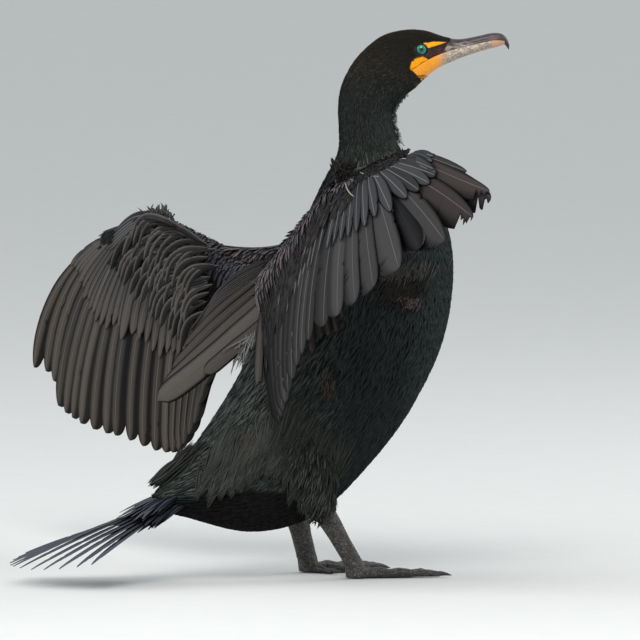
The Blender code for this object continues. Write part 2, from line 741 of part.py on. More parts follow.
def tail_shaft(angle, push, level, size):
    """Shaft of a tail feather at an angle from the middle line."""
    way = back * math.cos(angle) + left * math.sin(angle)
    across = left * math.cos(angle) - back * math.sin(angle)
    spot = end_mid + back * push + above * level + left * math.sin(angle) * 9
    return lone_shaft(spot, way, across, size)


for k in range(half):
    size = TAIL_LENGTH + (TAIL_SIDE_LENGTH - TAIL_LENGTH) * (k / (half - 1)) ** 1.5 - 14
    for sign, drop in ((1.0, 0.0), (-1.0, TAIL_LAYER)):
        angle = TAIL_HALF_FAN * (k + 0.5) / (half - 0.5) * sign
        level = 4.6 - 2 * TAIL_LAYER * k - drop
        tail_vanes.append(vane(tail_shaft(angle, 14, level, size), 0, 1, 6.4, 6.4, "pointed"))
for k in range(3):
    for sign, drop in ((1.0, 0.0), (-1.0, TAIL_LAYER)):
        angle = math.radians(5 + 10 * k) * sign
        over = 4.6 + 6 * TAIL_LAYER - 2 * TAIL_LAYER * k - drop
        under = 4.6 - 17 * TAIL_LAYER + 2 * TAIL_LAYER * k + drop
        tail_vanes.append(vane(tail_shaft(angle, 4, over, 72 - 7 * k), 0, 1, 7.5, 7.5, "short"))
        tail_vanes.append(vane(tail_shaft(angle, 4, under, 84 - 7 * k), 0, 1, 7.5, 7.5, "short"))
rump_cut = solid("rump_cut", faced(body_rings(0, RUMP_CUT, 8, grow=GAP), -GAP, -GAP))
boolean(tail, tail_vanes, "UNION")
boolean(tail, [twin(rump_cut, "cut")], "DIFFERENCE")
nodes.append(largest(tail))

# Legs, feet and claws
for label, leg in LEGS.items():
    side = leg["side"]
    hip, heel = np.array(leg["hip"]), np.array(leg["heel"])
    ankle = np.array(leg["ankle"] + (ANKLE_Z,))
    flat_x, flat_y = np.array((1.0, 0.0, 0.0)), np.array((0.0, 1.0, 0.0))
    steps = np.linspace(0, 1, 7)
    points = [hip + (heel - hip) * k + (0, 0, GAP / 2) for k in steps]
    wide = np.interp(steps, (0, 0.25, 0.6, 0.85, 1), (16, 30, 29, 17, 11.5))
    deep = np.interp(steps, (0, 0.25, 0.6, 0.85, 1), (8, 18, 19, 12, 9.0))
    thigh = limb("thigh_" + label, points, [flat_x] * 7, [flat_y] * 7, wide, deep, sides=16)
    boolean(thigh, [twin(torso_cut, "cut")], "DIFFERENCE")
    boolean(thigh, [twin(rump_cut, "cut")], "DIFFERENCE")
    nodes.append(largest(thigh))
    steps = np.linspace(0, 1, 6)
    points = [heel + (ankle - heel) * k + (0, 0, GAP / 2 - GAP * (1 - k)) for k in steps]
    wide = np.interp(steps, (0, 0.15, 0.5, 1), (9.0, 9.6, 7.6, 9.0))
    deep = np.interp(steps, (0, 0.15, 0.5, 1), (6.5, 7.0, 5.0, 6.4))
    nodes.append(limb("leg_" + label, points, [flat_x] * 6, [flat_y] * 6, wide, deep, sides=12))

    # Foot: four toes on one web
    sole = ankle + (3.0, 0, -ANKLE_Z)
    stub = [ankle - (0, 0, GAP / 2), ankle + (1.5, 0, -6.0), sole + (0, 0, 1.2), sole]
    foot = limb("foot_" + label, stub, [flat_x] * 4, [flat_y] * 4,
                (9.0, 10.5, 11.5, 10.0), (6.4, 8.0, 9.5, 8.0))
    tips = []
    toes = []
    centre = sole
    for number, (bearing, length, radius) in enumerate(TOES):
        turned = math.radians(-side * bearing)
        way = np.array((math.cos(turned), math.sin(turned), 0.0))
        flank = np.array((-way[1], way[0], 0.0))
        steps = np.linspace(0, 1, 7)
        knuckles = 1 + 0.10 * np.cos(steps * math.pi * (7 - number))
        thick = radius * np.interp(steps, (0, 1), (1.15, 0.62)) * knuckles
        phi = np.linspace(0, 2 * math.pi, 6, endpoint=False)
        rings = []
        for k, r in zip(steps, thick):
            ring = centre + way * length * k + np.outer(np.cos(phi) * r, flank)
            ring = ring + np.outer(r * 0.78 + np.sin(phi) * r * 0.9, (0, 0, 1))
            ring[:, 2] = np.maximum(ring[:, 2], 0.0)
            rings.append(ring)
        toes.append(solid("toe", rings))
        tip = centre + way * length
        tips.append(tip)
        end = thick[-1]
        claw_rings = []
        for k, scale in ((0.0, 0.80), (0.35, 0.66), (0.7, 0.40), (1.0, 0.10)):
            mid = tip + way * (GAP + CLAW_LENGTH * k * 0.92) + (0, 0, end * (0.95 - 0.62 * k * k))
            claw_rings.append(mid + np.outer(np.cos(phi) * end * scale * 0.8, flank)
                              + np.outer(np.sin(phi) * end * scale, (0, 0, 1)))
        claw_rings = np.array(claw_rings)
        claw_rings[:, :, 2] = np.maximum(claw_rings[:, :, 2], 0.5)
        nodes.append(solid("claw_" + label + "_" + str(4 - number), claw_rings))
    rim = [centre - (6.0, 0, 0)]
    for number, tip in enumerate(tips):
        rim.append(centre + (tip - centre) * 0.93)
        if number < 3:
            middle = (tips[number] + tips[number + 1]) / 2
            rim.append(centre + (middle - centre) * 0.84)
    low = [tuple(p + (0, 0, 0.0)) for p in rim]
    top = [tuple(p + (0, 0, WEB_THICK)) for p in rim]
    n = len(rim)
    hub_low, hub_top = 2 * n, 2 * n + 1
    faces = []
    for i in range(n):
        j = (i + 1) % n
        faces.append((hub_low, j, i))
        faces.append((hub_top, n + i, n + j))
        faces.append((i, j, n + j))
        faces.append((i, n + j, n + i))
    web = make("web", low + top + [tuple(centre + (4, 0, 0)), tuple(centre + (4, 0, WEB_THICK))], faces)
    boolean(foot, toes + [outward(web)], "UNION")
    nodes.append(largest(foot))
bpy.data.objects.remove(torso_cut, do_unlink=True)
bpy.data.objects.remove(rump_cut, do_unlink=True)

# Origin at the middle of the bounding box's bottom face
points = np.concatenate([np.array([v.co[:] for v in node.data.vertices]) for node in nodes])
low, high = points.min(axis=0), points.max(axis=0)
shift = np.array(((low[0] + high[0]) / 2, (low[1] + high[1]) / 2, low[2]))

COLOURS = {
    "eye": (0.02, 0.32, 0.27), "bill_upper": (0.10, 0.09, 0.10), "bill_lower": (0.75, 0.33, 0.07),
    "leg": (0.03, 0.03, 0.03), "foot": (0.035, 0.035, 0.04), "claw": (0.015, 0.015, 0.015),
    "arm": (0.05, 0.045, 0.045), "forearm": (0.05, 0.045, 0.045), "hand": (0.045, 0.04, 0.04),
    "tail": (0.02, 0.024, 0.032),
}
for node in nodes:
    coords = np.array([v.co[:] for v in node.data.vertices]) - shift
    node.data.vertices.foreach_set("co", coords.ravel())
    node.data.update()
    material = bpy.data.materials.new(node.name)
    material.use_nodes = True
    colour = (0.012, 0.014, 0.014)
    for key, value in COLOURS.items():
        if node.name.startswith(key):
            colour = value
    shader = material.node_tree.nodes["Principled BSDF"]
    shader.inputs["Base Color"].default_value = colour + (1.0,)
    shader.inputs["Roughness"].default_value = 0.25 if node.name.startswith("eye") else 0.6
    node.data.materials.clear()
    node.data.materials.append(material)
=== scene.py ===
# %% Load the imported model
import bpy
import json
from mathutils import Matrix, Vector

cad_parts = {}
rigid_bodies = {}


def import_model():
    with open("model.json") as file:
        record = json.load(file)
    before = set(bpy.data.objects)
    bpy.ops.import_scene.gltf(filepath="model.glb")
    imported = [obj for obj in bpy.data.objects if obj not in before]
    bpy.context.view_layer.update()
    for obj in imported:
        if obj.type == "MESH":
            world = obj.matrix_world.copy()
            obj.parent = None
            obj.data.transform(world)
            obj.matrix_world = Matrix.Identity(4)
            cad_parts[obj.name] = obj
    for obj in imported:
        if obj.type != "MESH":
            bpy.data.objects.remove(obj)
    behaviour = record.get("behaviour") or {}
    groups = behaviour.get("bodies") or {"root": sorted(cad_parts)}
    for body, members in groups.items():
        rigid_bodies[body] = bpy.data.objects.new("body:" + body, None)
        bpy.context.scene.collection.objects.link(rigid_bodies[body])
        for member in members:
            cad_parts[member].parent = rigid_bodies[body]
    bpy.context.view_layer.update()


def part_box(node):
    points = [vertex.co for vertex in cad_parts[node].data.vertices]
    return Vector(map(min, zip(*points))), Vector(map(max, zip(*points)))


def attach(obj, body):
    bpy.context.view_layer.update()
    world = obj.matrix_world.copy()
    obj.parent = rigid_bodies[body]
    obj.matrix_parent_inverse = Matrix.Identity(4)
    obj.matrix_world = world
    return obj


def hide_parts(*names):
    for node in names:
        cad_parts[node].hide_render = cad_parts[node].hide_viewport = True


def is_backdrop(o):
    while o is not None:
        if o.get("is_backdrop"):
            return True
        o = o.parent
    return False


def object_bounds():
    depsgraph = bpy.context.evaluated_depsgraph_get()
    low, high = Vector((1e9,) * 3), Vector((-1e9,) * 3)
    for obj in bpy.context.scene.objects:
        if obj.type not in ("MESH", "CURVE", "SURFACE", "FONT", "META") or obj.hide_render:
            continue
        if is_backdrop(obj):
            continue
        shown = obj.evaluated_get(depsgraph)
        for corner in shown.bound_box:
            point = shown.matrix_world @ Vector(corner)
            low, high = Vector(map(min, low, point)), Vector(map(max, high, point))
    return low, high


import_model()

# %% [markdown]
# # A cormorant drying its wings
#
# This notebook dresses the plain solids of a life-size cormorant. The solids say
# where each part is; here every surface gets its real finish: skin, thousands of
# small feathers, the long feathers of wings and tail, bill, eyes, legs and feet.
#
# Everything is worked out in the bird's own frame, in millimetres: +X is the way
# the body faces, +Y is its left, and the floor is Z = 0. One step at the end of
# each piece turns millimetres into Blender's metres. The two frames differ by a
# plain shift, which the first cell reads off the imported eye.

# %% Units and the shift between the two frames
import json
import math

import bmesh
import bpy
import numpy as np
from mathutils import Vector

MM = 0.001
NECK_X = 24.3
HEAD_TURN = math.radians(-25.0)
EYE_X, EYE_SIDE, EYE_Z = 54.2, 10.6, 525.7
rng = np.random.default_rng(7)


def head_point(x, side, z):
    """Point of the turned head: x forwards of the upright neck line, side to the
    left, both turned about that line by the head's angle."""
    c, s = math.cos(HEAD_TURN), math.sin(HEAD_TURN)
    x, side, z = np.broadcast_arrays(np.asarray(x, float), side, z)
    return np.stack([NECK_X + x * c - side * s, x * s + side * c, z], axis=-1)


low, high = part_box("eye_right")
SHIFT = np.array((low + high) / 2) / MM - head_point(EYE_X, -EYE_SIDE, EYE_Z)
print("shift in mm", SHIFT.round(3))


def unit(v):
    """Vectors of length 1 along v."""
    v = np.asarray(v, float)
    return v / np.maximum(np.linalg.norm(v, axis=-1, keepdims=True), 1e-9)


def dot(a, b):
    """Dot product of matching vectors, kept as a last axis of one number."""
    return np.sum(a * b, axis=-1, keepdims=True)


def in_view(across, down, away):
    """Point of the bird's frame from where the camera sees it: mm to the right,
    mm down, and mm of depth. The view is turned by 25 degrees and looks down by 4."""
    u = np.asarray(across, float) - 345.0
    c, s, tip = math.cos(HEAD_TURN), -math.sin(HEAD_TURN), math.radians(4.0)
    z = (574.0 - np.asarray(down, float) - away * math.sin(tip)) / math.cos(tip)
    return np.stack(np.broadcast_arrays(u * c + away * s, away * c - u * s, z), axis=-1)


def ease(x):
    """0 below 0, 1 above 1, and the smooth step 3x^2 - 2x^3 between."""
    x = np.clip(x, 0, 1)
    return x * x * (3 - 2 * x)

# %% [markdown]
# ## From arrays to a mesh
#
# A mesh is a list of points and a list of faces. Blender can take both as whole
# arrays, which is far quicker than adding one point at a time. This helper also
# stores numbers on the points, such as how far along a feather each one lies, so
# that a material can read them later.

# %% Mesh helpers
def add_mesh(name, points, faces, material, hides=(), uv=None, marks=None, smooth=True):
    """Object from points in mm and a list of face arrays, one array for each
    number of corners. uv maps a layer's name to one pair a corner; marks maps an
    attribute's name to one vector a point."""
    mesh = bpy.data.meshes.new(name)
    points = (np.asarray(points, float) + SHIFT) * MM
    mesh.vertices.add(len(points))
    mesh.vertices.foreach_set("co", points.astype(np.float32).ravel())
    corners = np.concatenate([f.ravel() for f in faces])
    sizes = np.concatenate([np.full(len(f), f.shape[1]) for f in faces])
    mesh.loops.add(len(corners))
    mesh.loops.foreach_set("vertex_index", corners.astype(np.int32))
    mesh.polygons.add(len(sizes))
    mesh.polygons.foreach_set("loop_start", np.concatenate([[0], np.cumsum(sizes)[:-1]]).astype(np.int32))
    mesh.update(calc_edges=True)
    for layer, pairs in (uv or {}).items():
        data = mesh.uv_layers.new(name=layer)
        data.data.foreach_set("uv", np.asarray(pairs, np.float32).ravel())
    for key, values in (marks or {}).items():
        mark = mesh.attributes.new(key, "FLOAT_VECTOR", "POINT")
        mark.data.foreach_set("vector", np.asarray(values, np.float32).ravel())
    mesh.polygons.foreach_set("use_smooth", np.full(len(sizes), smooth))
    mesh.materials.append(material)
    obj = bpy.data.objects.new(name, mesh)
    bpy.context.scene.collection.objects.link(obj)
    own(obj, hides)
    print(name, len(points), "points,", int((sizes - 2).sum()), "triangles")
    return obj


def own(obj, hides=()):
    """Ties a finished piece to the model's one body and hides the nodes that it replaces."""
    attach(obj, "root")
    if hides:
        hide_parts(*hides)
    return obj


def tube_faces(count, sides):
    """Quads between rings of points, with a fan of triangles on both ends. The
    two end points come after all the rings."""
    i, j = np.meshgrid(np.arange(count - 1), np.arange(sides), indexing="ij")
    k = (j + 1) % sides
    quads = np.stack([i * sides + j, i * sides + k, (i + 1) * sides + k, (i + 1) * sides + j], axis=-1)
    j = np.arange(sides)
    k = (j + 1) % sides
    first, last, top = count * sides, count * sides + 1, (count - 1) * sides
    near = np.stack([np.full(sides, first), k, j], axis=-1)
    far = np.stack([np.full(sides, last), top + j, top + k], axis=-1)
    return [quads.reshape(-1, 4), np.concatenate([near, far])]


def tube_points(rings):
    """Points of the rings followed by the middles of the first and last ring."""
    ends = np.stack([rings[0].mean(axis=0), rings[-1].mean(axis=0)])
    return np.concatenate([rings.reshape(-1, 3), ends])


def right_way(obj):
    """Turns the faces of a closed mesh outwards."""
    bm = bmesh.new()
    bm.from_mesh(obj.data)
    bmesh.ops.recalc_face_normals(bm, faces=bm.faces)
    if bm.calc_volume(signed=True) < 0:
        bmesh.ops.reverse_faces(bm, faces=bm.faces)
    bm.to_mesh(obj.data)
    bm.free()
    return obj


def loose_tube(rings, name="part"):
    """Closed tube as a plain object that waits to be joined to another."""
    mesh = bpy.data.meshes.new(name)
    faces = [row for group in tube_faces(len(rings), rings.shape[1]) for row in group.tolist()]
    mesh.from_pydata(((tube_points(rings) + SHIFT) * MM).tolist(), [], faces)
    obj = bpy.data.objects.new(name, mesh)
    bpy.context.scene.collection.objects.link(obj)
    return right_way(obj)


def combine(obj, others, operation):
    """Applies one Boolean of obj with some closed objects, then removes them."""
    group = bpy.data.collections.new("operands")
    bpy.context.scene.collection.children.link(group)
    for other in others:
        bpy.context.scene.collection.objects.unlink(other)
        group.objects.link(other)
    mod = obj.modifiers.new("join", "BOOLEAN")
    mod.operation = operation
    mod.solver = "MANIFOLD"
    mod.operand_type = "COLLECTION"
    mod.collection = group
    result = bpy.data.meshes.new_from_object(obj.evaluated_get(bpy.context.evaluated_depsgraph_get()))
    obj.modifiers.clear()
    obj.data = result
    for other in others:
        bpy.data.objects.remove(other, do_unlink=True)
    bpy.data.collections.remove(group)
    return obj

# %% [markdown]
# ## Shader sums as Python sums
#
# A Blender material is a graph of small nodes. Written one by one they are hard
# to read, so the class below wraps a socket: adding, taking away or multiplying
# two wires adds the Math node that does it. All other nodes come from one method.

# %% Wires and paints
class Wire:
    """A node's output that takes part in Python sums."""

    def __init__(self, paint, socket):
        self.paint, self.socket = paint, socket

    def math(self, operation, *others):
        """One Math node on this wire and the others."""
        values = {0: self, **{i + 1: o for i, o in enumerate(others)}}
        return self.paint.add("Math", {"operation": operation}, values)

    def __add__(self, other):
        return self.math("ADD", other)

    def __mul__(self, other):
        return self.math("MULTIPLY", other)

    def __sub__(self, other):
        return self.math("SUBTRACT", other)

    def __rsub__(self, other):
        return (self * -1.0).math("ADD", other)

    def __pow__(self, other):
        return self.math("POWER", other)

    __radd__ = __add__
    __rmul__ = __mul__

    def step(self, low, high):
        """Smooth rise from 0 at low to 1 at high."""
        inputs = {"Value": self, "From Min": low, "From Max": high}
        return self.paint.add("MapRange", {"interpolation_type": "SMOOTHSTEP"}, inputs)


class Paint:
    """One material: its shader with fixed values, and a way to add nodes."""

    def __init__(self, name, **fixed):
        self.material = bpy.data.materials.new(name)
        self.material.use_nodes = True
        self.tree = self.material.node_tree
        self.shader = self.tree.nodes["Principled BSDF"]
        for key, value in fixed.items():
            self.shader.inputs[key.replace("_", " ")].default_value = value

    def add(self, kind, settings=None, inputs=None, output=0):
        """A node of one type with its settings, then its values and links."""
        node = self.tree.nodes.new("ShaderNode" + kind)
        for key, value in (settings or {}).items():
            setattr(node, key, value)
        for key, value in (inputs or {}).items():
            if isinstance(value, Wire):
                self.tree.links.new(value.socket, node.inputs[key])
            else:
                node.inputs[key].default_value = value
        return Wire(self, node.outputs[output])

    def mix(self, amount, first, second):
        """Colour first where amount is 0 and second where it is 1."""
        first, second = [c if isinstance(c, Wire) else tuple(c) + (1.0,) for c in (first, second)]
        return self.add("Mix", {"data_type": "RGBA"}, {0: amount, 6: first, 7: second}, 2)

    def place(self):
        """Object coordinates, in metres."""
        return self.add("TexCoord", output=3)

    def noise(self, scale, detail=3.0, rough=0.55, at=None):
        """Cloudy pattern from 0 to 1, about 1 / scale metres across."""
        inputs = {"Vector": at or self.place(), "Scale": scale, "Detail": detail, "Roughness": rough}
        return self.add("TexNoise", None, inputs)

    def mark(self, name):
        """The three numbers that a piece stores on its points under this name."""
        vector = self.add("Attribute", {"attribute_name": name}, output=1)
        parts = [self.add("SeparateXYZ", None, {0: vector}, i) for i in range(3)]
        return parts

    def finish(self, colour, rough=None, height=None, depth=0.2, strength=1.0):
        """Links colour, roughness and a bump whose height is in mm."""
        for key, value in (("Base Color", colour), ("Roughness", rough)):
            if isinstance(value, Wire):
                self.tree.links.new(value.socket, self.shader.inputs[key])
            elif value is not None:
                self.shader.inputs[key].default_value = value
        if height is not None:
            inputs = {"Height": height, "Distance": depth * MM, "Strength": strength}
            bump = self.add("Bump", None, inputs)
            self.tree.links.new(bump.socket, self.shader.inputs["Normal"])
        return self.material

# %% [markdown]
# ## The body as one function
#
# Neck, trunk and head of a bird flow into each other, so one function gives them
# all: a station number t runs from the root of the tail to the tip of the bill,
# and an angle goes round. Each station has its back point, its belly point and a
# half width; a smooth curve runs through them. Skin and feathers both ask this
# function where they are, so they cannot drift apart.

# %% Body outline and its curve
BODY = np.array([
    (-230.3, 88.0, -206.3, 65.0, 13.0), (-213.0, 107.0, -129.3, 46.5, 34.0),
    (-191.0, 129.5, -60.7, 61.0, 47.0), (-165.3, 160.6, -1.3, 111.0, 56.0),
    (-136.8, 203.0, 46.3, 170.0, 61.0), (-107.1, 259.0, 80.5, 241.5, 64.0),
    (-77.3, 326.4, 88.2, 321.5, 60.0), (-49.7, 384.0, 66.0, 388.0, 45.0),
    (-30.0, 420.0, 35.5, 422.0, 28.0), (-28.0, 444.4, 26.5, 446.4, 24.0),
    (-28.7, 464.0, 25.5, 460.4, 23.5), (-26.5, 484.0, 29.5, 470.4, 22.5),
    (-20.0, 501.0, 38.0, 479.0, 21.5), (-7.5, 519.5, 48.5, 487.0, 20.0),
    (14.0, 537.5, 55.0, 493.5, 18.5), (37.0, 544.1, 61.0, 499.0, 17.5),
    (57.4, 543.6, 72.7, 507.1, 15.5), (77.0, 537.5, 86.0, 513.2, 12.0),
    (92.0, 535.2, 98.0, 518.0, 9.6), (109.0, 537.9, 115.0, 523.6, 8.0),
    (124.0, 541.2, 129.0, 527.2, 7.0), (133.5, 540.8, 136.2, 529.6, 5.8),
    (139.0, 537.0, 138.2, 529.0, 4.4), (141.9, 530.5, 139.6, 527.2, 3.0),
    (141.8, 525.2, 141.0, 524.9, 1.2),
])


def cubic(keys, t):
    """Smooth curve through the rows of keys at station numbers t: between two
    rows a cubic whose end slopes come from the rows around them."""
    keys = np.asarray(keys, float)
    slope = np.gradient(keys, axis=0)
    last = len(keys) - 1
    t = np.clip(np.asarray(t, float), 0, last)
    i = np.minimum(t.astype(int), last - 1)
    u = (t - i)[..., None]
    return ((1 + 2 * u) * (1 - u) ** 2 * keys[i] + u * (1 - u) ** 2 * slope[i]
            + u * u * (3 - 2 * u) * keys[i + 1] + u * u * (u - 1) * slope[i + 1])


def body(t, phi, grow=0.0, slim=1.0):
    """Surface point at station t and angle phi, 0 at the back and pi at the
    belly: an ellipse on the line from belly to back, grown outwards by grow and
    turned with the head. Behind the first station it runs on in a line."""
    t, phi, grow = np.broadcast_arrays(np.asarray(t, float), phi, grow)
    row = cubic(BODY, t) + np.minimum(t, 0)[..., None] * (BODY[1] - BODY[0]) * 0.5
    mid, half = (row[..., 0:2] + row[..., 2:4]) / 2, (row[..., 0:2] - row[..., 2:4]) / 2
    half = half * (1 + grow / np.linalg.norm(half, axis=-1))[..., None]
    width = row[..., 4] * slim + grow
    full = 0.12 * np.clip((t - 1) / 3, 0, 1) * np.clip((9 - t) / 3, 0, 1)
    cos, sin = np.cos(phi), np.sin(phi)
    x, z = mid[..., 0] + half[..., 0] * cos, mid[..., 1] + half[..., 1] * cos
    y = width * sin * (1 - full * cos)
    angle = HEAD_TURN * ease((t - 7.6) / 4.6)
    return np.stack([NECK_X + x * np.cos(angle) - y * np.sin(angle),
                     x * np.sin(angle) + y * np.cos(angle), z], axis=-1)


# %% [markdown]
# ## The line of the wings
#
# A wing hangs on four points: shoulder, elbow, wrist and tip. The long feathers
# of the hand, the primaries, fan out from it; those of the forearm, the
# secondaries, hang side by side. A short table gives the direction and length
# of a few of them, and the rest follow the curve through the table.

# %% Wing joints and feather fans
WINGS = {
    "left": {
        "side": 1.0, "dorsal": (-0.92, -0.36, 0.0),
        "shoulder": (30.0, 44.0, 356.0), "elbow": (-16.0, 163.0, 282.0),
        "wrist": (-68.0, 296.0, 332.0), "tip": (-79.0, 410.0, 317.0),
        "fan": [
            (0, 0.00, 0.775, -0.632, 224), (1, 0.01, 0.745, -0.668, 217),
            (2, 0.01, 0.712, -0.702, 220), (3, 0.01, 0.660, -0.751, 240),
            (4, 0.00, 0.620, -0.785, 238), (6, -0.029, 0.523, -0.852, 231),
            (8, -0.039, 0.371, -0.928, 221), (10, -0.063, 0.240, -0.970, 214),
            (14, -0.09, 0.11, -0.99, 205),
            (18, -0.15, 0.09, -0.98, 188), (22, -0.26, 0.11, -0.96, 152),
            (25, -0.43, 0.14, -0.89, 109),
        ],
        "tilts": (11.0, 9.0, 7.5, 8.0, 11.0, 13.0), "bow": 17.0, "slack": 0.55, "secondaries": 11,
        "inner": (13.0, 20.0, 19.0, 16.0, 16.0), "outer": (6.0, 10.0, 12.0, 10.0, 10.0),
        "covert_share": (0.28, 0.38, 0.50, 0.52, 0.50), "sweep": 16.0,
        "humeral": (-0.76, -0.10, -0.64), "humeral_length": 168.0,
    },
    "right": {
        "side": -1.0, "dorsal": (-0.85, 0.10, 0.50),
        "shoulder": (30.0, -44.0, 362.0), "elbow": (-111.0, -60.0, 297.0),
        "wrist": (-89.0, -179.0, 401.0), "tip": (-68.0, -287.0, 440.0),
        "fan": [
            (0, -0.06, -0.99, -0.045, 154), (1, -0.04, -0.99, -0.085, 222),
            (2, -0.02, -0.99, -0.085, 233),
            (3, -0.05, -0.98, -0.16, 225), (4, -0.12, -0.95, -0.26, 213),
            (5, -0.27, -0.88, -0.39, 204), (6, -0.33, -0.81, -0.48, 198),
            (8, -0.39, -0.68, -0.62, 190), (10, -0.40, -0.56, -0.73, 181),
            (14, -0.33, -0.44, -0.83, 163), (18, -0.21, -0.29, -0.94, 152),
            (22, -0.09, -0.20, -0.98, 141), (25, 0.01, -0.17, -0.99, 131),
        ],
        "tilts": (12.0, 10.0, 4.0, -20.0, -40.0, -46.0), "bow": 5.0, "slack": 0.30, "secondaries": 9,
        "inner": (11.0, 30.0, 15.0, 7.5, 9.0), "outer": (4.5, 11.0, 9.0, 7.0, 8.0),
        "covert_share": (0.50, 0.52, 0.50, 0.44, 0.46), "sweep": 2.0,
        "humeral": (-0.16, -0.02, -0.99), "humeral_length": 100.0,
    },
}
for wing in WINGS.values():
    for key in ("dorsal", "shoulder", "elbow", "wrist", "tip", "humeral"):
        wing[key] = np.array(wing[key], float)
PRIMARIES, LAST_KEY = 10, 25.0
ROOT_SET, LAYER = 8.0, 0.5


def fan_at(wing, key):
    """Directions and lengths of the feathers with these places in the table."""
    rows = np.array(wing["fan"], float)
    found = cubic(rows[:, 1:], np.interp(key, rows[:, 0], np.arange(len(rows))))
    return unit(found[..., 0:3]), found[..., 3]


def shaft_axes(points, upward):
    """Side and upward axes of shafts that lie side by side: the side axis runs
    from each shaft to the next, square to it, and the upward one is square to
    both."""
    along = unit(np.gradient(points, axis=1))
    side = -np.gradient(points, axis=0)
    side = unit(side - along * dot(side, along))
    normal = np.cross(along, side)
    normal = normal * np.sign(dot(normal, upward))
    return {"points": points, "across": side, "normal": normal}


def wing_shafts(wing, number):
    """Shafts for feather numbers, 0 to 9 on the hand from the tip inwards and
    the rest on the forearm. Each starts on the bone, runs along its direction in
    the table, arches towards the back of the wing and bows forwards."""
    number = np.asarray(number, float)
    inner = (number - PRIMARIES) / (wing["secondaries"] - 1)
    place = np.where(number < PRIMARIES - 0.5, 0.96 - 0.098 * number, -0.07 - 0.91 * inner)[:, None]
    key = np.where(number < PRIMARIES, number, PRIMARIES + inner * (LAST_KEY - PRIMARIES))
    ways, lengths = fan_at(wing, key)
    bone = np.maximum(place, 0) * (wing["tip"] - wing["wrist"])
    bone = bone + np.maximum(-place, 0) * (wing["elbow"] - wing["wrist"])
    roots = wing["wrist"] + bone + ways * ROOT_SET
    grid = np.linspace(0, 1, 33)
    hump = 4 * grid * (1 - grid)
    points = roots[:, None] + grid[None, :, None] * (ways * lengths[:, None])[:, None]
    rows = shaft_axes(points, wing["dorsal"])
    bow = wing["bow"] * np.interp(key, (0, 3, 9, 14, 25), (1.0, 1.0, 0.45, 0.2, 0.1))
    points = points + rows["across"] * (bow[:, None] * hump)[..., None]
    level = LAYER * (np.minimum(number, PRIMARIES) - 6) + np.where(number < PRIMARIES, 0.0, LAYER)
    points = points + rows["normal"] * (0.035 * lengths[:, None] * hump + level[:, None])[..., None]
    return {**shaft_axes(points, wing["dorsal"]), "length": lengths, "key": key}


# %% [markdown]
# ## The skin
#
# Under its feathers a bird has one skin from bill to tail, out along the wings
# and down the thighs. The solids are parted there so that each part has a name,
# but a dressed bird must show no seam. So the same forms are built again, finer
# and a little slimmer, and joined into one closed mesh.

# %% One skin from separate forms
COAT = 1.6


def limb(start, end, chord, normal, wide, deep, count=24, sides=28, push=0.0, shrink=COAT):
    """Rings of ellipses from start to end. A ring reaches wide along chord and
    deep along normal, less the coat's depth, and its middle is pushed along
    chord. The ends draw in like the end of a sausage."""
    k = np.linspace(0, 1, count)[:, None]
    chord, normal = np.broadcast_arrays(chord, normal)
    centre = start + (end - start) * k + chord * push
    round_off = np.sqrt(np.clip(1 - (1 - np.minimum(1, 9 * np.minimum(k, 1 - k))) ** 2, 0.02, 1))
    keys = np.linspace(0, 1, len(wide))
    a = (np.interp(k, keys, wide) - shrink) * round_off
    b = (np.interp(k, keys, deep) - shrink) * round_off
    phi = np.linspace(0, 2 * np.pi, sides, endpoint=False)[None, :, None]
    return centre[:, None] + np.cos(phi) * (a * chord)[:, None] + np.sin(phi) * (b * normal)[:, None]


def wing_axes(wing, start, end, first, last, count=24):
    """Chord and normal along a length of the arm: the chord is the feathers'
    own direction, made square to the bone."""
    along = unit(end - start)
    ways = fan_at(wing, np.linspace(first, last, count))[0]
    chord = unit(ways - along * dot(ways, along))
    return chord, np.cross(along, chord)


def fold_lines(wing):
    """Back line and front edge of the skin between shoulder, elbow and wrist,
    where the front edge sags between shoulder and wrist."""
    k = np.linspace(0.06, 0.97, 24)[:, None]
    back = wing["shoulder"] + (wing["elbow"] - wing["shoulder"]) * k
    edge = wing["shoulder"] + (wing["wrist"] - wing["shoulder"]) * k
    edge = edge + (back - edge) * (0.15 + wing["slack"] * 4 * k * (1 - k))
    web = unit(np.cross(wing["elbow"] - wing["shoulder"], wing["wrist"] - wing["shoulder"])) * wing["side"]
    return back, edge, web


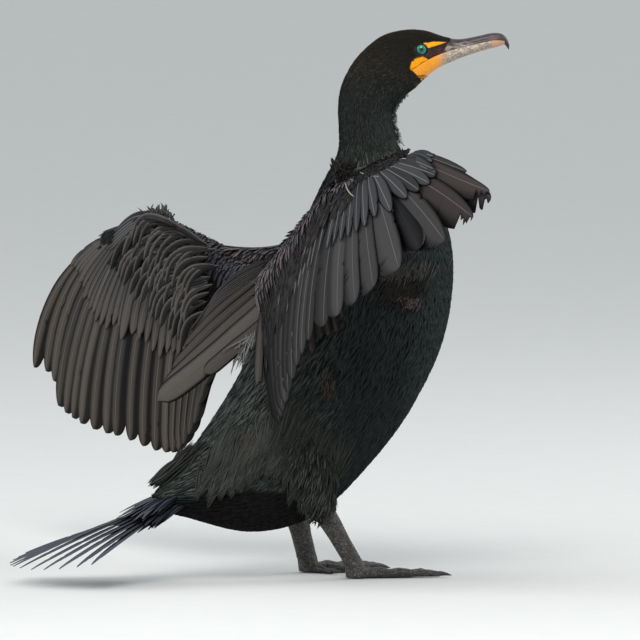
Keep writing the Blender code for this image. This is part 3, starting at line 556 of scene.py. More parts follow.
LEGS = {
    "left": {"side": 1.0, "hip": (-66.0, 36.0, 150.0), "heel": (-34.0, 45.0, 62.0), "ankle": (-21.0, 45.0, 14.0)},
    "right": {"side": -1.0, "hip": (-74.0, -36.0, 150.0), "heel": (-44.0, -45.0, 66.0), "ankle": (-11.0, -45.0, 14.0)},
}
AHEAD, LEFT, UP = np.eye(3)
limbs = []
for wing in WINGS.values():
    shoulder, elbow, wrist, tip = [wing[k] for k in ("shoulder", "elbow", "wrist", "tip")]
    chord, normal = wing_axes(wing, elbow, wrist, 25, 9)
    limbs.append(limb(elbow, wrist + unit(wrist - elbow) * 6, chord, normal, (22, 17), (12, 8.5), push=4.0))
    chord, normal = wing_axes(wing, wrist, tip, 9, 0)
    limbs.append(limb(wrist - unit(tip - wrist) * 4, tip + unit(tip - wrist) * 4, chord, normal,
                      (15, 16, 13, 9), (6.5, 6.0, 5.2, 4.2), push=4.0))
    back, edge, web = fold_lines(wing)
    bone = unit(elbow - shoulder)
    chord = unit(np.cross(web, bone))
    limbs.append(limb(shoulder - bone * 8, elbow + bone * 4, chord, web, (22, 20, 15, 9), (20, 17, 12, 7)))
    reach = np.linalg.norm(edge - back, axis=1, keepdims=True) / 2 + 1
    phi = np.linspace(0, 2 * np.pi, 28, endpoint=False)[None, :, None]
    thick = np.linspace(5.0, 2.8, 24)[:, None, None]
    limbs.append(((back + edge) / 2)[:, None] + np.cos(phi) * (unit(edge - back) * reach)[:, None]
                 + np.sin(phi) * thick * web)
for leg in LEGS.values():
    hip, heel = np.array(leg["hip"]), np.array(leg["heel"])
    limbs.append(limb(hip, heel, AHEAD, LEFT, (22, 30, 29, 22, 12), (12, 18, 19, 14, 9)))
stations = np.concatenate([np.linspace(0, 12.4, 150), np.linspace(12.4, 17.7, 110)[1:]])
around = np.linspace(0, 2 * np.pi, 120, endpoint=False)
depth = np.interp(stations, (0, 8, 12, 14), (COAT, COAT, 1.0, 0.45))[:, None]
skin = loose_tube(body(stations[:, None], around[None, :], -depth), "skin")
combine(skin, [loose_tube(rings) for rings in limbs], "UNION")
print("skin", len(skin.data.vertices), "points,", len(skin.data.polygons), "faces")

# %% [markdown]
# ## Feathers as arrays
#
# A feather is a shaft with a thin vane on each side. Every feather here is one
# closed blade: rings of points across the vane, carried along the shaft. Numpy
# works out all the feathers of a group in one go: the arrays have one axis for
# the feathers, one for the stations along them and one for the points across.
#
# Each feather also carries what its material needs: how far each point lies from
# the shaft, how far along, and one random number that makes no two feathers
# quite the same colour.

# %% Feather blades
def resample(shafts, at):
    """Points and axes of each shaft at the shares at of its length; a share
    below 0 runs back in a straight line."""
    n = shafts["points"].shape[1] - 1
    q = np.clip(at, 0, 1) * n
    i = np.minimum(q.astype(int), n - 1)[..., None]
    f = q[..., None] - i
    rows = [np.take_along_axis(shafts[k], i, 1) * (1 - f) + np.take_along_axis(shafts[k], i + 1, 1) * f
            for k in ("points", "across", "normal")]
    start = shafts["points"][:, 1] - shafts["points"][:, 0]
    rows[0] = rows[0] + (np.minimum(at, 0) * n)[..., None] * start[:, None]
    return rows


def outline(s, blunt):
    """Share of the full width at share s of the length: narrow at the quill,
    full from the middle on, and rounded over the last blunt of it."""
    base = np.interp(s, (0, 0.12, 0.45, 0.75, 1), (0.14, 0.60, 0.96, 1.0, 0.97))
    tip = np.clip((s - 1 + blunt) / blunt, 0, 1)
    return base * np.sqrt(np.clip(1 - tip ** 2.2, 0.0009, 1))


def blades(name, centre, across, lift, inner, outer, material, ribs=3, thick=0.5, camber=0.0,
           shaft=0.0, root_uv=None, patch=0.003, hides=(), tint=None, length=None):
    """Closed blades along centre (feathers, stations, 3). A ring runs from the
    inner edge over the upper side to the outer edge and back below. A point at
    share u across stands at thick * (1 - u^2) / 2 above or below the middle
    sheet, which droops by camber * u^2, with a raised shaft at u = 0."""
    n, s = centre.shape[:2]
    u = np.sin(np.linspace(-1, 1, ribs) * np.pi / 2) if ribs > 3 else np.linspace(-1, 1, ribs)
    order = np.concatenate([u, u[-2:0:-1]])
    above = np.concatenate([np.ones(ribs), -np.ones(ribs - 2)])
    x = np.where(order < 0, inner[..., None] * order, outer[..., None] * order)
    width = (inner + outer)[..., None] / 2
    height = above * thick * (1 - order ** 2) / 2 - camber * width * order ** 2
    height = height + above * shaft * (np.abs(order) < 0.05)
    points = centre[:, :, None] + across[:, :, None] * x[..., None] + lift[:, :, None] * height[..., None]
    ring = 2 * ribs - 2
    i, j = [a.ravel() for a in np.meshgrid(np.arange(s - 1), np.arange(ring), indexing="ij")]
    k = (j + 1) % ring
    quads = np.stack([i * ring + j, (i + 1) * ring + j, (i + 1) * ring + k, i * ring + k], axis=-1)
    fan = np.arange(1, ring - 1)
    end = (s - 1) * ring
    caps = np.concatenate([np.stack([fan * 0, fan, fan + 1], axis=-1),
                           np.stack([fan * 0 + end, end + fan + 1, end + fan], axis=-1)])
    along = np.gradient(centre, axis=1)
    hand = dot(np.cross(across, along), lift)[..., 0].mean(axis=1) > 0
    start = (np.arange(n) * s * ring)[:, None, None]
    faces = []
    for group in (quads, caps):
        every = np.where(hand[:, None, None], group[None, :, ::-1], group[None]) + start
        faces.append(every.reshape(-1, group.shape[1]))
    share = np.linspace(0, 1, s)
    if length is None:
        length = np.linalg.norm(np.diff(centre, axis=1), axis=2).sum(axis=1)
    tint = rng.random(n) if tint is None else tint
    ones = np.ones((n, s, ring))
    vane_at = np.stack([ones * np.abs(order), ones * share[None, :, None], ones * tint[:, None, None]], axis=-1)
    rule = np.stack([x * ones, ones * (share * length[:, None])[..., None], ones * length[:, None, None]], axis=-1)
    if root_uv is None:
        cells = math.ceil(math.sqrt(n))
        corner = np.stack([np.arange(n) % cells, np.arange(n) // cells], axis=-1) / cells
        spread = np.stack([(0.03 + 0.42 * (order + 1) / 2) * ones + 0.5 * (above < 0), 0.03 + 0.94 * share[None, :, None] * ones], axis=-1)
        flat = corner[:, None, None] + spread / cells
    else:
        flat = root_uv[:, None, None] + patch * np.stack([order / 2 * ones, share[None, :, None] * ones], axis=-1)
    flat = flat.reshape(-1, 2)
    corners = np.concatenate([f.ravel() for f in faces])
    marks = {"vane_at": vane_at.reshape(-1, 3), "rule": rule.reshape(-1, 3)}
    return add_mesh(name, points.reshape(-1, 3), faces, material, hides, {"OFBake": flat[corners]}, marks)

# %% [markdown]
# ## Feather paint
#
# A feather's vane is made of hundreds of barbs that leave the shaft at a slant.
# From a step away they read as a fine silky grain, a darker rim, and a pale
# shaft. Where the rim colour is near black, the rim is painted shade: the shade in
# the gaps where feathers overlap. On the black coverts the pale rim is their real
# fringe. The paint draws the grain as a wave of the distance along the feather
# less a share of the distance from the shaft, so the lines form a row of Vs.
#
# Black feathers are darker than their own shine, so the shine is kept low. Each
# feather's own random number then makes it a little lighter or darker.

# %% Feather paints
def feather_paint(name, root, tip, edge, shaft, rim=(0.72, 0.95), shaft_width=0.7, gloss=0.5, spec=0.04,
                  pale=None, rust=None, sheen=0.0, inner=None, under=None):
    """Vane colour from root to tip, its edge, its pale shaft, and barbs in the
    colour and in the bump. Where the edge colour is near black, the rim is
    painted shade in the gaps where feathers overlap. Where it is pale, it is the
    feather's real fringe. A feather's own number mixes in pale, and a number
    from 1 to 2 stands for a worn feather and mixes in rust. inner sets a wider
    painted-shade rim on the inner vane, which lies under the next feather. under
    is the colour below the flank's skirt, painted shade under the hanging flank coat."""
    paint = Paint(name, Sheen_Weight=sheen, Sheen_Roughness=0.4, Specular_IOR_Level=spec)
    across, along, tint = paint.mark("vane_at")
    x, y, length = paint.mark("rule")
    off = x.math("ABSOLUTE")
    shade = tint.math("FRACT")
    wave = (y * 2.6 - off * 2.6 + shade * 40.0).math("SINE") * 0.5 + 0.5
    cloud = paint.noise(260.0, 4.0)
    colour = paint.mix(along.step(0.05, 1.0), root, tip)
    if pale:
        colour = paint.mix(shade, colour, pale)
    if rust:
        colour = paint.mix(tint.step(1.0, 1.6), colour, rust)
    # Rim mask: a near-black edge colour paints shade into the gaps between overlapping feathers, and a pale one is a
    # real fringe. The inner vane gets its own, wider painted-shade rim.
    dark = across.step(*rim)
    if inner:
        side = x.step(-0.3, 0.3)
        dark = dark * side + across.step(*inner) * (1 - side)
    colour = paint.mix(dark * 0.88, colour, edge)
    # Painted shade: below the flank's skirt the coat turns to the under colour, the shade under the hanging flank coat.
    if under:
        spot = paint.place()
        east = paint.add("SeparateXYZ", None, {0: spot}, 0) * 1000.0 - float(SHIFT[0])
        high = paint.add("SeparateXYZ", None, {0: spot}, 2) * 1000.0
        colour = paint.mix((skirt(east) - high).step(-2.0, 5.0) * (1 - east.step(-44.0, -32.0)), colour, under)
    light = (shade * 0.35 + 0.72 + cloud * 0.3) * (wave * 0.24 + 0.86)
    grey = paint.add("CombineColor", None, {0: light, 1: light, 2: light})
    colour = paint.add("Mix", {"data_type": "RGBA", "blend_type": "MULTIPLY"}, {0: 1.0, 6: colour, 7: grey}, 2)
    line = 1 - off.step(shaft_width * 0.45, shaft_width)
    line = line * (1 - along.step(0.80, 1.0) * 0.8)
    colour = paint.mix(line, colour, shaft)
    height = wave * 0.5 + line * 0.8 + cloud * 0.3
    return paint.finish(colour, gloss + cloud * 0.12, height, depth=0.22, strength=0.6)


# The near-black edge colours and inner rims of these flight feathers, coverts and tail feathers are painted shade in
# the gaps between overlapping feathers.
quill_grey = feather_paint("flight_feather", (0.030, 0.030, 0.032), (0.052, 0.043, 0.036),
                           (0.0015, 0.0014, 0.0016), (0.12, 0.10, 0.085), rim=(0.40, 0.80), shaft_width=0.5,
                           inner=(0.15, 0.50), pale=(0.085, 0.071, 0.059))
quill_slate = feather_paint("near_flight_feather", (0.016, 0.016, 0.018), (0.018, 0.0172, 0.0178),
                            (0.004, 0.004, 0.0045), (0.095, 0.088, 0.082), rim=(0.60, 0.97), shaft_width=0.5,
                            inner=(0.30, 0.85), pale=(0.036, 0.034, 0.034), rust=(0.030, 0.0225, 0.0215), spec=0.06)
great_grey = feather_paint("great_covert", (0.020, 0.020, 0.023), (0.076, 0.066, 0.058),
                           (0.003, 0.0028, 0.003), (0.10, 0.09, 0.08), rim=(0.45, 0.92), shaft_width=0.5,
                           pale=(0.058, 0.053, 0.050))
hand_slate = feather_paint("hand_covert", (0.010, 0.0103, 0.0118), (0.017, 0.0175, 0.0205),
                           (0.003, 0.003, 0.0035), (0.15, 0.142, 0.134), rim=(0.65, 0.98), shaft_width=0.45,
                           pale=(0.026, 0.027, 0.031), spec=0.08)
covert_black = feather_paint("wing_covert", (0.003, 0.003, 0.004), (0.009, 0.009, 0.010),
                             (0.115, 0.105, 0.096), (0.02, 0.018, 0.018), rim=(0.66, 1.0), shaft_width=0.3,
                             pale=(0.020, 0.020, 0.022))
covert_arch = feather_paint("arched_covert", (0.002, 0.002, 0.0025), (0.012, 0.0115, 0.0115),
                            (0.100, 0.090, 0.082), (0.02, 0.018, 0.018), rim=(0.05, 1.0), shaft_width=0.3,
                            inner=(5.0, 6.0), pale=(0.030, 0.028, 0.028))
covert_scale = feather_paint("small_covert", (0.034, 0.037, 0.050), (0.058, 0.062, 0.082),
                             (0.002, 0.002, 0.0025), (0.05, 0.045, 0.042), rim=(0.40, 0.85), shaft_width=0.3,
                             pale=(0.110, 0.088, 0.080), spec=0.08)
tail_slate = feather_paint("tail_feather", (0.014, 0.016, 0.022), (0.028, 0.032, 0.048),
                           (0.003, 0.0035, 0.005), (0.07, 0.07, 0.08), pale=(0.050, 0.054, 0.078), spec=0.2)

# %% [markdown]
# ## The long feathers
#
# Primaries and secondaries are few and large, and the eye reads each one, so
# each gets many stations and seven points across. The tips of the outermost are
# worn into points, and here and there a vane has split, as barbs unzip.

# %% Flight feathers
def long_feathers(name, shafts, start, end, inner, outer, stations, blunt, material, rise=0.0, tilt=0.0,
                  hides=(), ribs=7, worn=0.0, splits=0.25, thick=0.6, camber=0.10, shaft=0.35, tint=None):
    """Blades on the whole shafts, or on the part from start to end of each.
    rise lifts a blade over the one below once it has left its root. tilt rolls
    it about its own shaft, worn frays its tip, and splits opens its vane."""
    n = len(shafts["length"])
    q = np.linspace(0, 1, stations)
    s = np.broadcast_to(1 - (1 - q) ** 1.5, (n, stations))
    centre, across, normal = resample(shafts, start + (end - start) * s)
    shape = outline(s, np.broadcast_to(blunt, n)[:, None])
    comb = rng.random((n, stations)) * (s > 0.88) * np.broadcast_to(worn, n)[:, None]
    split = (rng.random((n, stations)) < splits / stations * 3) * rng.uniform(0.1, 0.45, (n, stations))
    other = (rng.random((n, stations)) < splits / stations * 2) * rng.uniform(0.1, 0.35, (n, stations))
    inner = shape * np.broadcast_to(inner, n)[:, None] * (1 - comb * 0.75) * (1 - split)
    outer = shape * np.broadcast_to(outer, n)[:, None] * (1 - comb[:, ::-1] * 0.3) * (1 - other)
    roll = np.broadcast_to(tilt, n)[:, None, None]
    lean = across * np.cos(roll) + normal * np.sin(roll)
    lift = normal * np.cos(roll) - across * np.sin(roll)
    climb = np.minimum(1, s / 0.18) * rise + rng.normal(0, 0.15, (n, 1)) * s
    centre = centre + normal * climb[..., None]
    thin = thick * (1 - 0.5 * s)[..., None][:1]
    return blades(name, centre, lean, lift, inner, outer, material, ribs, thin, camber, shaft, hides=hides, tint=tint)


REACH_KEYS = (0, 2, 9, 10, 25)
TILT_KEYS = (0, 3, 7, 10, 14, 25)
for label, wing in WINGS.items():
    numbers = np.arange(PRIMARIES + wing["secondaries"])
    shafts = wing_shafts(wing, numbers)
    key = shafts["key"]
    right = label == "right"
    inner = np.interp(key, REACH_KEYS, wing["inner"]) * rng.uniform(0.96, 1.05, len(key))
    inner = inner + (11.0 if right else 0.0) * np.exp(-((key - 5.0) / 1.7) ** 2)
    outer = np.interp(key, REACH_KEYS, wing["outer"])
    tilt = np.radians(np.interp(key, TILT_KEYS, wing["tilts"])) + rng.normal(0, 0.02, len(key))
    worn = np.interp(key, (0, 1, 3, 4, 6), (0.3, 1.0, 1.0, 0.3, 0.0)) * (1.0 if right else 0.15)
    blunt = np.interp(key, (0, 4, 6), (0.45, 0.34, 0.12)) if right else np.interp(key, (0, 3), (0.2, 0.10))
    # On the far wing the inner secondaries fade to tint 0, which paints them darkest: painted shade where they hang in
    # shadow.
    tint = rng.random(len(key)) * (0.6 + 0.3 * right) * (1 - (not right) * ease((key - 15.0) / 4.0))
    tint = tint + (right & (key > 0.5) & (key < 3.5)) * 1.2
    nodes = [f"{part}_{label}" for part in ("arm", "forearm", "hand")]
    long_feathers(f"flight_feathers_{label}", shafts, 0.0, 1.0, inner, outer, 44, blunt,
                  quill_slate if right else quill_grey,
                  tilt=tilt, hides=nodes, worn=worn, splits=0.5, tint=tint)
    if right:
        # the near feathers are turned on their shafts: these vanes close the wing behind them
        between = wing_shafts(wing, np.arange(4.5, PRIMARIES + wing["secondaries"] - 1.0))
        wide = np.interp(between["key"], (5, 9, 14, 25), (20.0, 14.0, 11.0, 11.0))
        long_feathers("inner_vanes_right", between, 0.0, 0.93, wide, wide * 0.8, 20, 0.2, covert_black,
                      rise=-2.2, tilt=np.zeros(len(wide)), ribs=3, splits=0.2, shaft=0.0, tint=np.full(len(wide), 0.2))
    half_way = wing_shafts(wing, np.arange(-0.25, PRIMARIES + wing["secondaries"] - 0.9, 0.62))
    key = half_way["key"]
    share = np.interp(key, (0, 3, 6, 12, 25), wing["covert_share"]) * rng.uniform(0.93, 1.05, len(key))
    tilt = np.radians(np.interp(key, TILT_KEYS, wing["tilts"]) * 0.8)
    wide = np.interp(key, REACH_KEYS, wing["outer"]) * (
        np.interp(key, (0, 7, 10), (1.0, 0.85, 0.52)) if right else 0.66 + 0.35 * np.exp(-((key - 9.6) / 0.8) ** 2))
    long_feathers(f"great_coverts_{label}", half_way, -0.02, share[:, None], wide, wide, 22, 0.6 if right else 0.28,
                  hand_slate if right else great_grey, rise=2.6, tilt=tilt, ribs=5, splits=0.4)
    long_feathers(f"under_coverts_{label}", half_way, -0.02, share[:, None] * 0.95, wide, wide, 16, 0.25, great_grey,
                  rise=-3.0, tilt=tilt, ribs=3, splits=0.3, shaft=0.0)

# %% [markdown]
# ## Rows of smaller coverts
#
# Above the long feathers the wing is roofed with rows of coverts, each row
# shorter than the last, right up to the leading edge. They lie staggered like
# slates. The longer rows are slender and sweep outwards in arcs; the short ones
# by the edge look like scales. Their height over the bone is the arm's own
# thickness, fading out towards the long feathers.

# %% Small coverts
COVERT_ROWS = [(28.0, 58.0, 4.6, 0.50), (20.0, 54.0, 4.2, 0.46), (13.0, 48.0, 3.9, 0.42), (7.0, 42.0, 3.6, 0.40),
               (2.0, 34.0, 3.5, 0.38), (-1.0, 25.0, 3.5, 0.37), (-4.0, 18.0, 3.4, 0.35), (-8.0, 15.0, 3.2, 0.33),
               (-11.0, 13.0, 2.9, 0.31), (-14.0, 11.5, 2.6, 0.29), (-17.0, 10.0, 2.4, 0.27)]


def arm_height(wing, number, reach):
    """Height of the wing's back over the shafts' sheet at distance reach behind
    the bone: the arm's round back, then a slow fall to the long feathers."""
    ends = (0, PRIMARIES - 0.6, PRIMARIES, PRIMARIES + wing["secondaries"] - 1)
    deep = np.interp(number, ends, (4.2, 6.0, 8.5, 12.0))[:, None]
    wide = np.interp(number, ends, (9.0, 16.0, 17.0, 22.0))[:, None]
    x = (reach + ROOT_SET - 4.0) / wide
    return deep * np.sqrt(np.clip(1 - np.minimum(x, 0.7) ** 2, 0.0, 1)) * np.exp(-np.maximum(x - 0.7, 0) * 1.3)


def covert_rows(wing, rows, below=False):
    """Some rows of coverts of one wing. Each path starts a little nearer to the
    body than it ends, by sweep * (1 - s)^2, which bends it into an arc. below
    puts the rows on the wing's underside."""
    parts = []
    sign = -1 if below else 1
    for row in rows:
        back, length, wide, step = COVERT_ROWS[row]
        number = np.arange(-0.3 + 0.5 * step * (row % 2), PRIMARIES + wing["secondaries"] - 0.6, step * (1.5 if below else 1.0))
        number = np.sort(number + rng.normal(0, 0.08, len(number)))
        if not below:
            number = number[number > (4.5 if wing["side"] > 0 else 7.0 - 0.7 * max(row - 6, 0))]
        shafts = wing_shafts(wing, number)
        size = np.interp(number, (0, 6, 18), (0.62, 0.85, 1.0)) * rng.uniform(0.85, 1.12, len(number))
        s = np.linspace(0, 1, 8)[None, :]
        span = np.interp(number, (0, 9, 18), (0.45, 0.75, 1.0) if wing["side"] < 0 else (0.6, 0.8, 1.0))[:, None]
        reach = back * span - ROOT_SET + s * (length * size)[:, None] * span
        centre, across, normal = resample(shafts, reach / shafts["length"][:, None])
        high = arm_height(wing, number, reach)
        cover = 3.4 + 0.2 * row
        tall = np.maximum(high, cover * np.clip(reach / 30 + 0.4, 0, 1)) + 0.8 * s + rng.normal(0, 0.35, (len(number), 1)) * s
        tall = tall - 1.6 * (1 - s) ** 2
        sweep = wing["sweep"] * np.clip(1.5 - row / 5, 0, 1.3) * np.interp(number, (0, 3, 8), (0, 0.4, 1.0))
        centre = centre + (normal * sign) * tall[..., None] - across * (sweep[:, None] * (1 - s) ** 2)[..., None]
        along = unit(np.gradient(centre, axis=1))
        across = unit(across - along * dot(across, along))
        parts.append((centre, across, normal * sign, (wide * size)[:, None] * outline(s, 0.4)))
    return [np.concatenate([p[i] for p in parts]) for i in range(4)]


for label, wing in WINGS.items():
    for word, rows, below, paint in (("middle", range(0, 5), False, covert_black), ("upper", range(5, 11), False, covert_scale),
                                     ("lower", range(0, 11), True, covert_black)):
        centre, across, lift, half = covert_rows(wing, rows, below)
        tint = rng.random(len(centre)) * (0.15 if label == "left" else 1.0) * 0.98
        blades(f"{word}_coverts_{label}", centre, across, lift, half, half, paint, ribs=3, thick=0.4,
               camber=0.14, tint=tint)

# %% [markdown]
# ## Tail
#
# A cormorant's tail is a stiff wedge of twelve narrow feathers that it leans on
# like a third leg. In the middle lie the longest. They spread a little, and
# their tips are worn to points.

# %% Tail feathers
TAIL_DROP, TAIL_HALF_FAN = math.radians(20.5), math.radians(32.0)
TAIL_BACK = np.array((-math.cos(TAIL_DROP), 0.0, -math.sin(TAIL_DROP)))
TAIL_UP = np.array((-math.sin(TAIL_DROP), 0.0, math.cos(TAIL_DROP)))
tail_root = body(0.0, np.linspace(0, 2 * np.pi, 24, endpoint=False)).mean(axis=0)


def tail_shafts(angle, push, level, length):
    """Shafts that fan out from the tail's root, arched by 2 mm."""
    angle, push, level, length = np.broadcast_arrays(np.asarray(angle, float), push, level, length)
    c, s = np.cos(angle)[:, None], np.sin(angle)[:, None]
    way, across = TAIL_BACK * c + LEFT * s, LEFT * c - TAIL_BACK * s
    spot = tail_root + TAIL_BACK * push[:, None] + TAIL_UP * level[:, None] + LEFT * s * 9
    grid = np.linspace(0, 1, 17)
    points = spot[:, None] + grid[None, :, None] * (way * length[:, None])[:, None]
    points = points + TAIL_UP * (8 * grid * (1 - grid))[None, :, None]
    ones = np.ones((1, 17, 1))
    return {"points": points, "across": across[:, None] * ones, "normal": np.cross(way, across)[:, None] * ones, "length": length}


side = np.tile((1.0, -1.0), 6)
rank = np.repeat(np.arange(6), 2)
angle = TAIL_HALF_FAN * (rank + 0.5) / 5.5 * side + rng.normal(0, 0.012, 12)
length = 162.0 - 24.0 * (rank / 5) ** 1.5
level = 4.6 - 2 * 0.92 * rank - 0.92 * (side < 0)
long_feathers("tail_feathers", tail_shafts(angle, 14.0, level, length), 0.0, 1.0, 6.4, 6.4, 36, 0.6, tail_slate,
              hides=["tail"], worn=0.5, splits=1.0)
for word, low, high, span, count in (("upper", 1.0, 10.0, 80.0, 70), ("under", -12.0, -2.0, 86.0, 90)):
    angle = rng.uniform(-0.62, 0.62, count)
    size = span * rng.uniform(0.4, 1.0, count) * (1 - 0.35 * np.abs(angle))
    level = rng.uniform(low, high, count) * (1 - 0.5 * np.abs(angle))
    spots = tail_shafts(angle, rng.uniform(-26, 2, count), level, size)
    long_feathers(f"tail_coverts_{word}", spots, 0.0, 1.0, 4.2, 4.2, 12, 0.5, tail_slate, ribs=3,
                  worn=0.6, shaft=0.0)

# %% [markdown]
# ## Feathers drawn through points
#
# Some feathers follow no row: the loose bundle of the upper arm, the thumb's
# feathers, tufts that the wind has lifted. For these it is simplest to name a
# few points that each shaft runs through and the side that its flat faces.

# %% Humerals, thumb feathers and tufts
humeral_brown = feather_paint("humeral_feather", (0.028, 0.024, 0.022), (0.056, 0.050, 0.047),
                              (0.004, 0.004, 0.004), (0.07, 0.064, 0.06), rim=(0.62, 0.98), shaft_width=0.4,
                              pale=(0.082, 0.074, 0.068))
down_black = feather_paint("black_down", (0.010, 0.009, 0.009), (0.016, 0.014, 0.013), (0.006, 0.006, 0.006),
                           (0.02, 0.018, 0.017), pale=(0.030, 0.027, 0.025), shaft_width=0.2)
down_grey = feather_paint("down", (0.10, 0.10, 0.10), (0.16, 0.16, 0.155), (0.08, 0.08, 0.08), (0.12, 0.12, 0.12),
                          pale=(0.30, 0.27, 0.25), sheen=0.3)
TO_CAMERA = unit(in_view(345, 574, -1.0) - in_view(345, 574, 0.0))


def through(name, knots, half, face, material, stations=16, ribs=3, blunt=0.25, shaft=0.0, tint=None, thick=0.4):
    """Blades whose shafts run through knots (feathers, points, 3) by the smooth
    curve, with half their width, and whose flats face one way."""
    knots = np.asarray(knots, float)
    n, k = knots.shape[:2]
    flat = cubic(knots.transpose(1, 0, 2).reshape(k, n * 3), np.linspace(0, k - 1, stations))
    centre = flat.reshape(stations, n, 3).transpose(1, 0, 2)
    along = unit(np.gradient(centre, axis=1))
    face = np.broadcast_to(face, (n, 3))[:, None]
    across = unit(np.cross(along, face))
    lift = unit(face - along * dot(along, face))
    width = np.broadcast_to(half, n)[:, None] * outline(np.linspace(0, 1, stations)[None, :], blunt)
    return blades(name, centre, across, lift, width, width, material, ribs, thick, 0.12, shaft, tint=tint)


def path_in_view(*stops):
    """Points from rows of (across, down, away) as the camera sees them."""
    stops = np.array(stops, float)
    return in_view(stops[:, 0], stops[:, 1], stops[:, 2])


bundle = [path_in_view((304, 266, 92), (256, 317, 106), (208, 361, 98), (157, 401, 90)),
          path_in_view((304, 257, 96), (253, 304, 112), (206, 347, 108), (163, 388, 98)),
          path_in_view((302, 275, 86), (262, 324, 96), (232, 350, 92), (204, 374, 86)),
          path_in_view((302, 250, 100), (252, 292, 118), (208, 330, 116), (172, 368, 106)),
          path_in_view((302, 244, 106), (254, 281, 124), (216, 312, 124), (184, 346, 114)),
          path_in_view((300, 280, 84), (270, 326, 92), (254, 342, 88), (238, 354, 84))]
through("humerals_left", bundle, (12.5, 8.0, 8.0, 5.0, 4.0, 5.0), TO_CAMERA + (0, 0, 0.3), humeral_brown,
        26, 5, 0.13, 0.3, np.array((0.75, 0.45, 0.35, 0.15, 0.05, 0.2)))
n = 10
q = np.linspace(0, 1, n)
spray = np.stack([in_view(300 + 4 * q, 244 + 18 * q, 112 - 8 * q), in_view(246 - 4 * q, 268 + 20 * q, 138 - 8 * q),
                  in_view(218 - 10 * q, 292 + 24 * q, 146 - 10 * q),
                  in_view(206 - 26 * q + rng.normal(0, 4, n), 318 + 34 * q + rng.normal(0, 4, n), 146 - 12 * q)], axis=1)
through("humeral_coverts_left", spray, 2.5, TO_CAMERA + (0, 0, 0.4), covert_black, 20, 3, 0.45)
wing = WINGS["right"]
n = 12
q = np.linspace(0, 1, n)
start = wing["elbow"] + (0.62 * q - 0.02)[:, None] * (wing["shoulder"] - wing["elbow"])
hang = np.stack([start, start + (-6, 0, -34), start + np.stack([-10 + 6 * q, -2 + 0 * q, -68 + 0 * q], axis=-1),
                 start + np.stack([-12 + 12 * q, -3 + 0 * q, -100 + 22 * q + rng.normal(0, 4, n)], axis=-1)], axis=1)
through("humerals_right", hang, 5.4, unit(TO_CAMERA + 0.9 * unit(wing["dorsal"])), humeral_brown, 22, 3, 0.2, 0.2, rng.random(n) * 0.5)
through("humerals_behind_right", hang + unit(wing["dorsal"]) * -2.0, 6.5, unit(wing["dorsal"] * (1, 1, 0)), humeral_brown,
        16, 3, 0.2, 0.0, np.zeros(n))
for label, wing in WINGS.items():
    bone = wing["tip"] - wing["wrist"]
    lead = -unit(fan_at(wing, np.array([7.0]))[0][0])
    up = unit(wing["dorsal"])
    k = np.arange(5)[:, None]
    root = wing["wrist"] - unit(bone) * (4 - 1.5 * k) + lead * (9 - 2.2 * k) + up * (3.5 + 0.8 * k)
    knots = np.stack([root, root + bone * (0.22 - 0.02 * k) + lead * 1.5 + up * 1.5, root + bone * (0.50 - 0.07 * k) - lead * 3], axis=1)
    if label == "left":
        knots = np.stack([in_view(160 - 2 * k[:, 0], 214 + 1 * k[:, 0], 232), in_view(134 - 1 * k[:, 0], 216 + 3 * k[:, 0], 262),
                          in_view(113 - 1.5 * k[:, 0], 230 + 5 * k[:, 0], 296)], axis=1)
    through(f"thumb_feathers_{label}", knots, 6.5 - 0.5 * k[:, 0], up * 0.8 + lead * 0.6, hand_slate, 20, 5, 0.35, 0.25)


def tuft(name, middle, way, count, length, width, loose, spot, material):
    """Wisps that stand out from one spot: roots within spot mm of the middle,
    ways spread by loose about the given one, each bent down at its tip."""
    root = middle + rng.normal(0, 1, (count, 3)) * spot
    lie = unit(unit(way) + rng.normal(0, loose, (count, 3))) * (length * rng.uniform(0.6, 1.15, count))[:, None]
    bend = rng.normal(0, 0.12, (count, 3)) * length - np.array((0, 0, 0.10 * length))
    knots = np.stack([root, root + lie * 0.55, root + lie + bend], axis=1)
    return through(name, knots, width, TO_CAMERA, material, 7, 3, 0.6)


ruff_grey = feather_paint("ruffled_down", (0.040, 0.039, 0.038), (0.085, 0.082, 0.079), (0.03, 0.03, 0.03),
                          (0.07, 0.07, 0.07), pale=(0.15, 0.145, 0.14))
tuft("wrist_tuft_left", in_view(162, 220, 238), in_view(151, 200, 236) - in_view(163, 219, 238), 150, 17.0, 0.8, 0.34,
     (5.0, 5.0, 1.5), ruff_grey)
tuft("tip_tuft_right", in_view(401, 157, -284), (0.4, -0.2, 0.5), 26, 9.0, 0.9, 0.35, (2.5, 2.5, 1.0), down_black)
tuft("arm_down_left", in_view(254, 338, 92), (-0.2, 0.1, -1.0), 110, 30.0, 0.8, 0.32, (5.0, 5.0, 3.5), down_grey)

# %% [markdown]
# ## Arched coverts of the far wing
#
# Over the far wing's forearm the slender coverts spring outwards and bend down
# like the ribs of an umbrella. Their arcs are named as the camera sees them: a
# search finds the wing's surface there, and each row lies a little higher.

# %% Arched coverts
def seen(points):
    """Points with their places in the view: across, down and away."""
    c, s, e = math.cos(HEAD_TURN), math.sin(HEAD_TURN), math.radians(4.0)
    away = points[:, 1] * c - points[:, 0] * s
    return points, 345.0 + points[:, 0] * c + points[:, 1] * s, 574.0 - points[:, 2] * math.cos(e) - away * math.sin(e), away


def on_surface(surface, across, down, out=0.0):
    """Surface points under spots of the view: of the points within 2 mm of the
    spot, or else the nearest, the one closest to the camera, moved towards it
    by out."""
    points, side, low, away = surface
    picks = [np.argmin(np.maximum(np.hypot(side - a, low - d) - 2.0, 0) * 1000 + away) for a, d in zip(across, down)]
    return points[picks] + TO_CAMERA * out


def corners(*names):
    """All points of some pieces, in the design's millimetres."""
    found = []
    for name in names:
        mesh = bpy.data.objects[name].data
        co = np.zeros(len(mesh.vertices) * 3)
        mesh.vertices.foreach_get("co", co)
        found.append(co.reshape(-1, 3) / MM - SHIFT)
    return np.concatenate(found)


